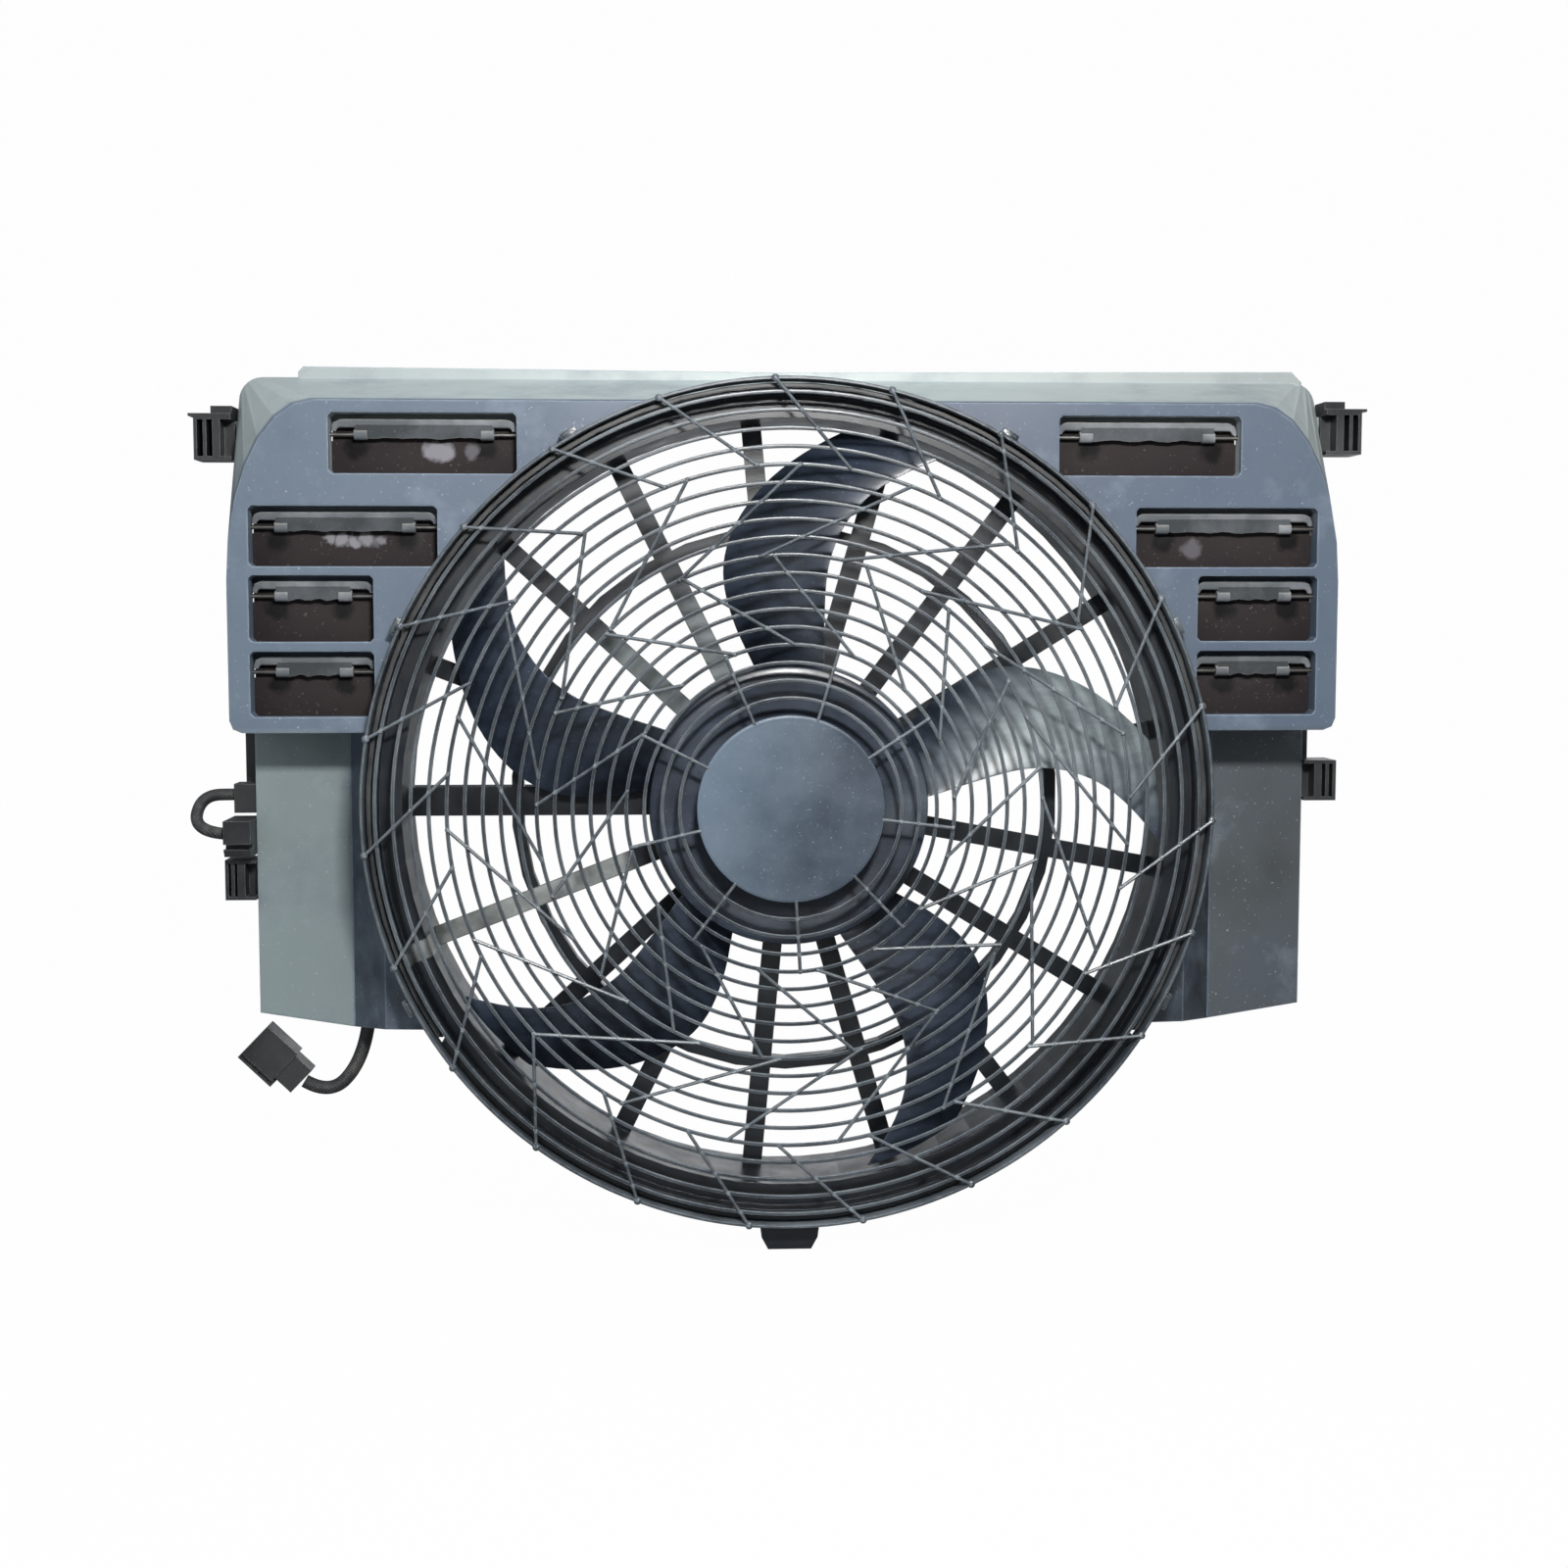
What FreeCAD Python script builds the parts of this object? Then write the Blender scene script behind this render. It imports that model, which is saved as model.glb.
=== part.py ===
import FreeCAD, Part
import Sketcher
import math
import os

# Radiator cooling fan: grey shroud with ram-air flaps, black fan carrier, ring guard, fan wheel and motor.
# Frame: millimetres, +Z up, the guard faces -Y, the fan axis is the Y axis.
# Y = 0 is the rear plane, which lies against the condenser, and the origin is where the fan axis meets it.

V = FreeCAD.Vector
PARTS_FOLDER = "parts"
FULL_TURN = 360.0

doc = FreeCAD.newDocument("cooling_fan")

# Driving sizes, in millimetres and degrees

SIZES = [
    # shroud box
    ("wall", 2.5, "thickness of the shroud's walls"),
    ("box_depth", 66.0, "front face of the shroud, in front of the rear plane"),
    ("box_half", 314.0, "half width of the front face"),
    ("box_top", 228.0, "top edge of the front face"),
    ("box_bottom", 43.0, "bottom edge of the box, above the wings"),
    ("box_corner_wide", 50.0, "upper front corner curve, across"),
    ("box_corner_tall", 100.0, "upper front corner curve, down"),
    ("box_foot_round", 7.0, "round at the lower corners of the box"),
    ("rear_half", 318.0, "half width of the box at the rear plane"),
    ("rear_top", 247.0, "top of the box at the rear plane"),
    ("rear_round", 14.0, "round of the upper corners at the rear plane"),
    ("lip_left", 283.0, "left end of the upright lip at the rear"),
    ("lip_right", 309.0, "right end of the upright lip at the rear"),
    ("lip_top", 253.0, "top of the upright lip, at its ends"),
    ("lip_dip", 2.0, "how much lower the lip is in the middle"),
    ("lip_thick", 3.0, "thickness of the lip and of the clip tabs"),
    # shroud wings
    ("wing_half", 309.0, "half width over the wings"),
    ("wing_depth", 20.0, "flat panel of the wing, in front of the rear plane"),
    ("wing_fold", 254.0, "where the flat panel folds into the slope"),
    ("slope_run", 22.0, "width of the steep slope, inwards from the fold"),
    ("slope_mid_depth", 50.0, "height of the slope there"),
    ("slope_end", 150.0, "inner end of the shallow slope, inside the collar"),
    ("slope_end_depth", 58.0, "height of the slope there"),
    ("wing_low_outer", 124.0, "lower corner of the wing, outside, below the axis"),
    ("wing_low_fold", 133.0, "lower edge at the fold, below the axis"),
    ("wing_low_inner", 129.0, "lower edge at the collar, below the axis"),
    # collar and throat
    ("collar_bore", 235.0, "inner radius of the shroud's collar"),
    ("collar_wall", 3.0, "thickness of the collar"),
    ("collar_front", 74.0, "front edge of the collar"),
    ("collar_rear", 8.5, "rear edge of the collar"),
    ("seat_gap", 0.3, "gap between parts that seat on each other"),
    ("lip_outer", 234.5, "outer radius of the carrier's front lip"),
    ("lip_front", 72.0, "front edge of the carrier's lip"),
    ("step_front", 62.0, "front face of the step between lip and throat"),
    ("throat", 219.5, "inner radius of the throat"),
    # spider
    ("spider_front", 20.0, "front face of the struts"),
    ("spider_rear", 5.0, "rear face of the motor ring"),
    ("strut_count", 17, "struts in the spider"),
    ("strut_width", 11.5, "width of a strut"),
    ("strut_plate", 3.0, "thickness of a strut's front plate"),
    ("strut_rear", 8.0, "rear edge of a strut"),
    ("duct_width", 17.0, "width of the strut that holds the cable"),
    ("mid_ring", 157.5, "radius of the spider's middle ring"),
    ("mid_ring_width", 7.5, "radial width of the middle ring"),
    ("mid_ring_depth", 9.0, "depth of the middle ring"),
    ("motor_ring_bore", 51.0, "inner radius of the motor ring"),
    ("motor_ring_outer", 64.0, "outer radius of the motor ring"),
    # carrier screws and foot
    ("ear_out", 4.0, "carrier's screws, outside the collar"),
    ("ear_width", 16.0, "width of a screw ear"),
    ("ear_thick", 3.0, "thickness of a screw ear"),
    ("screw_r", 2.0, "radius of the screws' shanks"),
    ("screw_head_r", 4.5, "radius of the screws' heads"),
    ("screw_head_tall", 2.6, "height of the screws' heads"),
    ("boss_r", 5.0, "radius of the shroud's screw bosses"),
    ("boss_length", 20.0, "length of the shroud's screw bosses"),
    ("foot_width", 25.0, "width of the locating foot at its tip"),
    ("foot_low", 257.0, "tip of the locating foot, below the axis"),
    ("foot_thick", 14.0, "thickness of the locating foot"),
    # guard
    ("guard_front", 80.0, "front plane of the guard's rings"),
    ("ring_pitch", 10.0, "distance from ring to ring"),
    ("ring_first", 62.5, "radius of the innermost ring"),
    ("ring_width", 2.4, "front width of a ring"),
    ("ring_depth", 4.5, "depth of a ring"),
    ("rib_width", 2.0, "width of a rib"),
    ("rib_height", 1.6, "height of a rib in front of the rings"),
    ("rim_radius", 240.0, "middle radius of the rim"),
    ("rim_wall", 2.2, "thickness of the rim"),
    ("disc_radius", 53.0, "radius of the middle disc"),
    ("disc_thick", 3.5, "thickness of the middle disc"),
    ("hook_length", 10.0, "length of a snap hook along the rim"),
    ("hook_width", 4.0, "radial width of a snap hook"),
    # fan wheel
    ("tip_gap", 3.5, "gap between blade tips and throat"),
    ("blade_count", 5, "blades on the wheel"),
    ("hub_r", 80.0, "radius of the hub cup"),
    ("hub_front", 62.0, "front face of the hub cup"),
    ("hub_depth", 36.0, "depth of the hub cup"),
    ("hub_wall", 2.8, "thickness of the hub cup"),
    # motor
    ("shaft_r", 4.0, "radius of the motor shaft"),
    ("shaft_front", 67.0, "front end of the shaft"),
    ("can_r", 50.0, "radius of the motor housing"),
    ("can_front", 48.0, "front end of the motor housing"),
    ("can_rear", 2.0, "rear end of the motor housing"),
    ("can_wall", 2.0, "thickness of the motor housing"),
    ("flange_thick", 2.5, "thickness of the motor's mounting ears"),
    ("run_gap", 0.04, "radial running clearance of the shaft"),
    ("air_gap", 0.8, "gap between armature and magnets"),
    # flaps
    ("flap_plate", 1.8, "thickness of a flap"),
    ("flap_side_gap", 0.5, "gap beside a flap"),
    ("flap_lap", 1.6, "overlap of a flap on the lower edge of its frame"),
    ("frame_wall", 2.0, "thickness of the frame round a window"),
    ("frame_rear", 53.0, "rear edge of the frame round a window"),
    ("ledge_drop", 8.0, "ledge behind the flap's top, down from the window's top"),
    ("ledge_gap", 1.5, "gap between the flap's rear face and the ledge, with the flap's seat gap"),
    ("window_corner", 2.0, "corner cut of a window"),
    ("pin_r", 1.2, "radius of a hinge pin"),
    ("pin_gap", 0.05, "radial clearance of a hinge pin"),
    ("pin_drop", 11.5, "hinge pin below the top of the window"),
    ("pin_depth", 56.5, "hinge pin in front of the rear plane"),
    ("knuckle_r", 3.0, "radius of a hinge knuckle"),
    ("knuckle_length", 7.5, "length of a hinge knuckle"),
    ("knuckle_inset", 13.0, "knuckle from the end of the flap"),
    # mounting clips
    ("clip_upper_long", 21.5, "reach of the upper clips beyond the box"),
    ("clip_left_long", 18.0, "reach of the lower left clip beyond the wing"),
    ("clip_right_long", 19.5, "reach of the lower right clip beyond the wing"),
    ("plug_long", 16.0, "reach of the side cable's plug beyond the wing"),
    ("clip_depth", 24.0, "depth of a mounting clip"),
    ("clip_wall", 2.0, "thickness of a clip's walls"),
    ("strip_top", 39.5, "top of the strips above the right clip and the saddle"),
    ("tab_length", 7.0, "length of the shroud's clip tabs"),
    ("tab_front", 8.0, "front face of the shroud's clip tabs"),
    # cables
    ("cable_d", 7.0, "diameter of the motor cable and the side cable"),
    ("pigtail_d", 8.0, "diameter of the pigtail"),
]

sheet = doc.addObject("Spreadsheet::Sheet", "Sizes")
for row, (alias, number, meaning) in enumerate(SIZES, start=1):
    sheet.set("A%d" % row, alias)
    sheet.set("B%d" % row, str(number))
    sheet.set("C%d" % row, meaning)
    sheet.setAlias("B%d" % row, alias)
doc.recompute()


def size(alias):
    """A driving size from the sheet."""
    return float(sheet.get(alias))


# Windows of one side, from the middle outwards: inner edge, outer edge, lower edge, upper edge
WINDOWS = {
    "1": (152.5, 256.5, 187.5, 221.0),
    "2": (197.0, 301.5, 136.0, 169.5),
    "3": (233.0, 302.0, 94.0, 131.0),
    "4": (233.0, 302.0, 52.0, 88.5),
}
SIDES = {"left": -1.0, "right": 1.0}

# Angles round the fan axis, counted from the right side upwards as seen from the front
SCREW_ANGLES = (5.0, 62.0, 118.0, 175.0, 207.0, 333.0)
HOOK_ANGLES = (25.0, 59.5, 120.5, 155.0, 207.5, 332.5)
MOTOR_SCREW_ANGLES = (90.0, 210.0, 330.0)


# Helpers for sketches and features

def new_body(name):
    body = doc.addObject("PartDesign::Body", name)
    body.Label = name
    return body


def plane_of(body, role):
    return next(f for f in body.Origin.OriginFeatures if f.Role == role)


def new_sketch(body, role, name, offset=0.0, formula=None):
    """A sketch on one of the body's own planes, moved along the plane's normal."""
    sketch = body.newObject("Sketcher::SketchObject", name)
    sketch.AttachmentSupport = (plane_of(body, role), [""])
    sketch.MapMode = "FlatFace"
    sketch.AttachmentOffset = FreeCAD.Placement(V(0, 0, offset), FreeCAD.Rotation())
    if formula:
        sketch.setExpression("AttachmentOffset.Base.z", formula)
    return sketch


def draw(sketch, points):
    """A closed outline of straight lines through the points, joined at its corners."""
    first = sketch.GeometryCount
    for start, end in zip(points, points[1:] + points[:1]):
        sketch.addGeometry(Part.LineSegment(V(start[0], start[1], 0), V(end[0], end[1], 0)))
    for i in range(len(points)):
        follower = first + (i + 1) % len(points)
        sketch.addConstraint(Sketcher.Constraint("Coincident", first + i, 2, follower, 1))


def draw_wire(sketch, edges):
    """An outline of ready made curves."""
    for edge in edges:
        sketch.addGeometry(edge)


def draw_circle(sketch, centre, radius, formula=None):
    """A circle whose radius can follow a cell of the sheet."""
    number = sketch.addGeometry(Part.Circle(V(centre[0], centre[1], 0), V(0, 0, 1), radius))
    if formula:
        index = sketch.addConstraint(Sketcher.Constraint("Radius", number, radius))
        sketch.setExpression("Constraints[%d]" % index, formula)


def rectangle(low_x, low_y, high_x, high_y):
    return [(low_x, low_y), (high_x, low_y), (high_x, high_y), (low_x, high_y)]


def pad(body, sketch, name, length, formula=None, backwards=False, midplane=False):
    feature = body.newObject("PartDesign::Pad", name)
    feature.Profile = sketch
    feature.Length = length
    if formula:
        feature.setExpression("Length", formula)
    feature.Reversed = backwards
    feature.Midplane = midplane
    return feature


def pocket(body, sketch, name, length, formula=None, backwards=False):
    feature = body.newObject("PartDesign::Pocket", name)
    feature.Profile = sketch
    feature.Length = length
    if formula:
        feature.setExpression("Length", formula)
    feature.Reversed = backwards
    return feature


def regular(radius, sides, x=0.0, z=0.0, around=False):
    """Corners of a regular outline, inside the radius or around it."""
    reach = radius / math.cos(math.pi / sides) if around else radius
    points = []
    for i in range(sides):
        angle = math.pi * (2 * i + 1) / sides
        points.append((x + reach * math.cos(angle), z + reach * math.sin(angle)))
    return points


def ring_band(body, name, inner, outer, front, rear, sides):
    """A ring of straight runs about the fan axis, between two depths given as formulas."""
    sketch = new_sketch(body, "XZ_Plane", name + "_outline", 0.0, front)
    draw(sketch, regular(outer, sides))
    draw(sketch, regular(inner, sides, around=True))
    return pad(body, sketch, name, 1.0, "(%s) - (%s)" % (front, rear), backwards=True)


def polar(body, features, name, count):
    pattern = body.newObject("PartDesign::PolarPattern", name)
    pattern.Originals = features
    pattern.Axis = (plane_of(body, "Y_Axis"), [""])
    pattern.Angle = FULL_TURN
    pattern.Occurrences = count
    body.Tip = pattern
    return pattern


def round_bar(body, kind, name, radius, height, base, direction, formula=None):
    """An added or a cut cylinder, from its base point along a direction."""
    feature = body.newObject("PartDesign::%sCylinder" % kind, name)
    feature.Radius = radius
    feature.Height = height
    feature.Placement = FreeCAD.Placement(base, FreeCAD.Rotation(V(0, 0, 1), direction))
    if formula:
        feature.setExpression("Radius", formula)
    return feature


def block(body, kind, name, low, high):
    """An added or a cut box between two corners."""
    feature = body.newObject("PartDesign::%sBox" % kind, name)
    feature.Length = high[0] - low[0]
    feature.Width = high[1] - low[1]
    feature.Height = high[2] - low[2]
    feature.Placement = FreeCAD.Placement(V(*low), FreeCAD.Rotation())
    return feature


def coded(name, shape):
    """A sub-part whose shape is worked out in code."""
    feature = doc.addObject("Part::Feature", name)
    feature.Label = name
    feature.Shape = shape
    return feature


def polar_point(radius, angle, y=0.0):
    """A point at a radius and an angle in degrees round the fan axis."""
    return V(radius * math.cos(math.radians(angle)), y, radius * math.sin(math.radians(angle)))


def ear_radius():
    """Radius of the screws that fix the carrier to the shroud."""
    return size("collar_bore") + size("collar_wall") + size("ear_out")


# Shroud

CORNER_COUNT = 7
FOOT_COUNT = 2
COLLAR_SIDES = 60
SCREW_SIDES = 10


def quadrant(centre_x, centre_z, wide, tall, start, runs):
    """Points of a quarter ellipse, anticlockwise from the start angle."""
    points = []
    for i in range(runs + 1):
        angle = math.radians(start + 90.0 * i / runs)
        points.append((centre_x + wide * math.cos(angle), centre_z + tall * math.sin(angle)))
    return points


def box_outline(half, top, wide, tall, inset):
    """Outline of the box at one depth: X to the right and Z up, in as many straight runs at both ends."""
    half -= inset
    top -= inset
    low = size("box_bottom") + inset
    foot = size("box_foot_round")
    points = quadrant(half - foot, low + foot, foot, foot, 270.0, FOOT_COUNT)
    points += quadrant(half - wide, top - tall, wide, tall, 0.0, CORNER_COUNT)
    points += quadrant(wide - half, top - tall, wide, tall, 90.0, CORNER_COUNT)
    points += quadrant(foot - half, low + foot, foot, foot, 180.0, FOOT_COUNT)
    return points


def front_outline(inset):
    wide, tall = size("box_corner_wide"), size("box_corner_tall")
    return box_outline(size("box_half"), size("box_top"), wide, tall, inset)


def rear_outline(inset):
    corner = size("rear_round")
    return box_outline(size("rear_half"), size("rear_top"), corner, corner, inset)


def flat_face(points):
    return Part.Face(Part.makePolygon(points + points[:1]))


def skin_through(outlines):
    """A solid through flat outlines of equal counts, its sides of flat triangles."""
    faces = [flat_face(outlines[0]), flat_face(outlines[-1])]
    for near, far in zip(outlines, outlines[1:]):
        for i in range(len(near)):
            k = (i + 1) % len(near)
            faces.append(flat_face([near[i], near[k], far[k]]))
            faces.append(flat_face([near[i], far[k], far[i]]))
    return solid_of(faces)


def solid_of(faces):
    """The solid that a closed set of faces bounds."""
    shell = Part.makeShell(faces)
    shell.sewShape()
    solid = Part.Solid(shell)
    if solid.Volume < 0:
        solid.reverse()
    return solid


def box_shell():
    """The hollow box: face, sloping top, sides and bottom, open at the rear."""
    blocks = []
    for inset in (0.0, size("wall")):
        near = [V(x, inset - size("box_depth"), z) for x, z in front_outline(inset)]
        far = [V(x, 0.0, z) for x, z in rear_outline(inset)]
        blocks.append(skin_through([near, far]))
    return blocks[0].cut(blocks[1])


def slope_mid():
    """Where the steep slope of a wing ends and the shallow one begins."""
    return size("wing_fold") - size("slope_run")


def wing_outline(side, inset):
    """Outline of a wing seen from above: outer wall, flat panel, slope up to the collar."""
    half = size("wing_half") - inset
    panel = size("wing_depth") - inset
    fold = size("wing_fold") - 0.35 * inset
    mid = slope_mid() - 0.85 * inset
    points = [
        (half, 0.0),
        (half, -panel),
        (fold, -panel),
        (mid, inset - size("slope_mid_depth")),
        (size("slope_end"), inset - size("slope_end_depth")),
        (size("slope_end"), 0.0),
    ]
    return [(side * x, y) for x, y in points]


def below_wing(side, lift):
    """What lies below the slanted lower edge of a wing."""
    outer = side * (size("wing_half") + 1.0)
    end = side * (size("slope_end") - 1.0)
    low = -size("wing_low_fold") - 5.0
    edge = [
        (outer, lift - size("wing_low_outer")),
        (side * size("wing_fold"), lift - size("wing_low_fold")),
        (side * slope_mid(), lift - size("wing_low_inner")),
        (end, lift - size("wing_low_inner")),
        (end, low),
        (outer, low),
    ]
    return prism_y(edge, -size("slope_end_depth") - 1.0, 1.0)


def wing_shell(side):
    """One wing below the box, a bent sheet with an outer wall and a bottom, open at the rear."""
    wall = size("wall")
    top = size("box_bottom") + wall
    low = -size("wing_low_fold")
    outer = prism_z(wing_outline(side, 0.0), low, top).cut(below_wing(side, 0.0))
    inner = prism_z(wing_outline(side, wall), low, top - wall).cut(below_wing(side, wall))
    return outer.cut(inner)


def prism_z(points, low, high):
    wire = Part.makePolygon([V(x, y, low) for x, y in points + points[:1]])
    return Part.Face(wire).extrude(V(0, 0, high - low))


def prism_y(points, front, rear):
    wire = Part.makePolygon([V(x, front, z) for x, z in points + points[:1]])
    return Part.Face(wire).extrude(V(0, rear - front, 0))


def prism_x(points, low, high):
    """A bar along X from an outline in Y and Z."""
    wire = Part.makePolygon([V(low, y, z) for y, z in points + points[:1]])
    return Part.Face(wire).extrude(V(high - low, 0, 0))


def rod_y(radius, front, rear, x=0.0, z=0.0):
    return Part.makeCylinder(radius, rear - front, V(x, front, z), V(0, 1, 0))


def prism_rod(radius, sides, front, rear, x=0.0, z=0.0, around=False):
    """A bar along Y with a regular outline, inside the radius or around it."""
    return prism_y(regular(radius, sides, x, z, around), front, rear)


def prism_ring(inner, outer, sides, front, rear):
    """A ring along Y with few sides, which leaves the inner radius free."""
    bore = prism_rod(inner, sides, front - 1.0, rear + 1.0, around=True)
    return prism_rod(outer, sides, front, rear).cut(bore)


def tube_y(inner, outer, front, rear):
    return rod_y(outer, front, rear).cut(rod_y(inner, front - 1.0, rear + 1.0))


def window_edges(window):
    """Inner edge, lower edge, outer edge and upper edge of one window."""
    inner, outer, low, high = WINDOWS[window]
    return inner, low, outer, high


def window_frame(side, window):
    """The frame behind one window, which carries the hinge pin and a ledge behind the flap's top."""
    inner, low, outer, high = window_edges(window)
    wall = size("frame_wall")
    rear = -size("frame_rear")
    points = rectangle(side * (inner - wall), low - wall, side * (outer + wall), high + wall)
    frame = prism_y(points, -size("box_depth"), rear)
    xs = sorted((side * (inner - wall), side * (outer + wall)))
    near = rear + size("flap_plate") + size("ledge_gap")
    tip = high - size("ledge_drop")
    ledge = [
        (rear - 1.0, high), (near, high), (near, tip), (near + wall, tip), (near + wall, high + wall),
        (rear - 1.0, high + wall),
    ]
    return frame.fuse(prism_x(ledge, *xs))


def window_hole(side, window):
    """The opening of one window, its corners cut off short."""
    inner, low, outer, high = window_edges(window)
    cut = size("window_corner")
    xs = sorted((side * inner, side * outer))
    points = [
        (xs[0] + cut, low), (xs[1] - cut, low), (xs[1], low + cut), (xs[1], high - cut),
        (xs[1] - cut, high), (xs[0] + cut, high), (xs[0], high - cut), (xs[0], low + cut),
    ]
    return prism_y(points, -size("box_depth") - 1.0, 1.0 - size("frame_rear"))


def pin_z(window):
    return WINDOWS[window][3] - size("pin_drop")


def pin_hole(side, window):
    """Square sockets for the hinge pin in both side walls of a window's frame."""
    inner, outer = WINDOWS[window][:2]
    wall = size("frame_wall")
    xs = sorted((side * (inner - wall - 0.5), side * (outer + wall + 0.5)))
    half = size("pin_r") + size("pin_gap")
    y = -size("pin_depth")
    z = pin_z(window)
    return prism_x(rectangle(y - half, z - half, y + half, z + half), *xs)


def clip_places():
    """Name, side, lower edge, upper edge, the shroud's edge and the outer edge of each mounting clip."""
    upper = size("rear_half")
    lower = size("wing_half")
    return [
        ("upper_left", -1.0, 197.5, 222.5, upper, upper + size("clip_upper_long")),
        ("upper_right", 1.0, 203.0, 228.0, upper, upper + size("clip_upper_long")),
        ("lower_left", -1.0, -57.0, -33.5, lower, lower + size("clip_left_long")),
        ("lower_right", 1.0, -1.5, 22.5, lower, lower + size("clip_right_long")),
    ]


def clip_tab(side, low, high, edge):
    """A short tab of the shroud that a mounting clip slides over."""
    margin = 2.0
    root = edge - 8.0
    tip = edge + size("tab_length")
    points = rectangle(side * root, low + margin, side * tip, high - margin)
    return prism_y(points, -size("tab_front"), size("lip_thick") - size("tab_front"))


def rear_lip():
    """The upright lip above the box, a little lower in its middle, with sloping ends."""
    left = -size("lip_left")
    right = size("lip_right")
    top = size("lip_top")
    root = size("rear_top") - 6.0
    slope = top - size("rear_top")
    outline = [
        (left, root), (right, root), (right, top - slope), (right - slope, top),
        (0.0, top - size("lip_dip")), (left + slope / 2.0, top), (left, top - slope / 2.0),
    ]
    return prism_y(outline, -size("lip_thick"), 0.0)


def shroud():
    depth = size("box_depth")
    bore = size("collar_bore")
    outside = bore + size("collar_wall")
    shell = box_shell().fuse([wing_shell(-1.0), wing_shell(1.0)])
    frames = [window_frame(side, name) for side in SIDES.values() for name in WINDOWS]
    tabs = [clip_tab(side, low, high, edge) for _, side, low, high, edge, _ in clip_places()]
    shell = shell.fuse(frames + [rear_lip()] + tabs)
    shell = shell.cut(prism_rod(bore + 0.5, COLLAR_SIDES, -depth - 1.0, 1.0, around=True))
    collar = prism_ring(bore, outside, COLLAR_SIDES, -size("collar_front"), -size("collar_rear"))
    below = rectangle(-outside - 1.0, -outside - 1.0, outside + 1.0, -size("wing_low_inner"))
    collar = collar.cut(prism_y(below, -size("collar_front") - 1.0, 0.0))
    rear = -size("collar_rear")
    front = rear - size("boss_length")
    shell = shell.fuse([collar] + screw_prisms(size("boss_r"), 8, front, rear))
    holes = [window_hole(side, name) for side in SIDES.values() for name in WINDOWS]
    holes += [pin_hole(side, name) for side in SIDES.values() for name in WINDOWS]
    holes += screw_prisms(size("screw_r") + size("pin_gap"), SCREW_SIDES, front + 3.0, rear + 1.0)
    holes += cable_notches()
    return coded("shroud", shell.cut(holes).removeSplitter())


def screw_prisms(radius, sides, front, rear):
    """A bar at each of the carrier's screws, for a boss or for its bore."""
    places = [polar_point(ear_radius(), angle) for angle in SCREW_ANGLES]
    return [prism_rod(radius, sides, front, rear, place.x, place.z, True) for place in places]


def cable_notches():
    """Openings at the rear edge of the left wing, for the side cable and for the pigtail."""
    half = size("cable_d") / 2.0 + 1.0
    wing = size("wing_half")
    middle = SIDE_ROUTE[1][2]
    side = prism_x(rectangle(-14.5, middle - half, 1.0, middle + half), -wing - 1.0, 3.0 - wing)
    half = size("pigtail_d") / 2.0 + 1.6
    above, below = PIGTAIL_ROUTE[2], PIGTAIL_ROUTE[3]
    share = (above[2] + size("wing_low_fold")) / (above[2] - below[2])
    x = above[0] + (below[0] - above[0]) * share
    down = prism_z(rectangle(x - half, -13.5, x + half, 1.0), -size("wing_low_fold") - 7.0, above[2] + 1.0)
    return [side, down]


# Fan carrier

# Straight runs of its rings, a whole number for each strut, so that every strut meets a flat
SPIDER_SIDES = 2 * int(size("strut_count"))
RING_SIDES = 2 * SPIDER_SIDES


def carrier():
    body = new_body("fan_carrier")
    wall = size("wall")
    throat = size("throat")
    lip = size("lip_outer")
    behind_step = "Sizes.step_front - Sizes.wall"
    ring_band(body, "lip_ring", lip - wall, lip, "Sizes.lip_front", behind_step, RING_SIDES)
    ring_band(body, "step_ring", throat, lip, "Sizes.step_front", behind_step, RING_SIDES)
    ring_band(body, "throat_ring", throat, throat + wall, "Sizes.step_front", "0", RING_SIDES)
    front = size("spider_front")
    bore = size("motor_ring_bore")
    ring = size("motor_ring_outer")
    ring_band(body, "motor_ring", bore, ring, "Sizes.spider_front", "Sizes.spider_rear", SPIDER_SIDES)
    mid = size("mid_ring")
    half = size("mid_ring_width") / 2.0
    behind_mid = "Sizes.spider_front - Sizes.mid_ring_depth"
    ring_band(body, "middle_ring", mid - half, mid + half, "Sizes.spider_front", behind_mid, SPIDER_SIDES)
    strut = new_sketch(body, "YZ_Plane", "strut_profile", 1.0 - ring, "1 - Sizes.motor_ring_outer")
    half = size("strut_width") / 2.0
    plate = size("strut_plate")
    rear = size("strut_rear")
    web = size("strut_width") / 4.0
    draw(strut, [(-front, -half), (-rear, -web), (-rear, web), (-front, half)])
    length = "Sizes.throat - Sizes.motor_ring_outer + 2"
    arm = pad(body, strut, "strut", throat - ring + 2.0, length, backwards=True)
    doc.recompute()
    polar(body, [arm], "struts", int(size("strut_count")))
    half = size("duct_width") / 2.0
    duct = new_sketch(body, "YZ_Plane", "duct_profile", 1.0 - ring, "1 - Sizes.motor_ring_outer")
    draw(duct, rectangle(-front, -half, -size("spider_rear"), half))
    pad(body, duct, "cable_duct", throat - ring + 2.0, length, backwards=True)
    channel = size("cable_d") / 2.0 + 1.2
    inside = (-(throat + wall + 1.0), plate - front, -channel)
    block(body, "Subtractive", "duct_channel", inside, (1.0 - bore, 1.0, channel))
    screw_ears(body)
    lower_flange(body)
    motor_holes(body)
    return body


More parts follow.
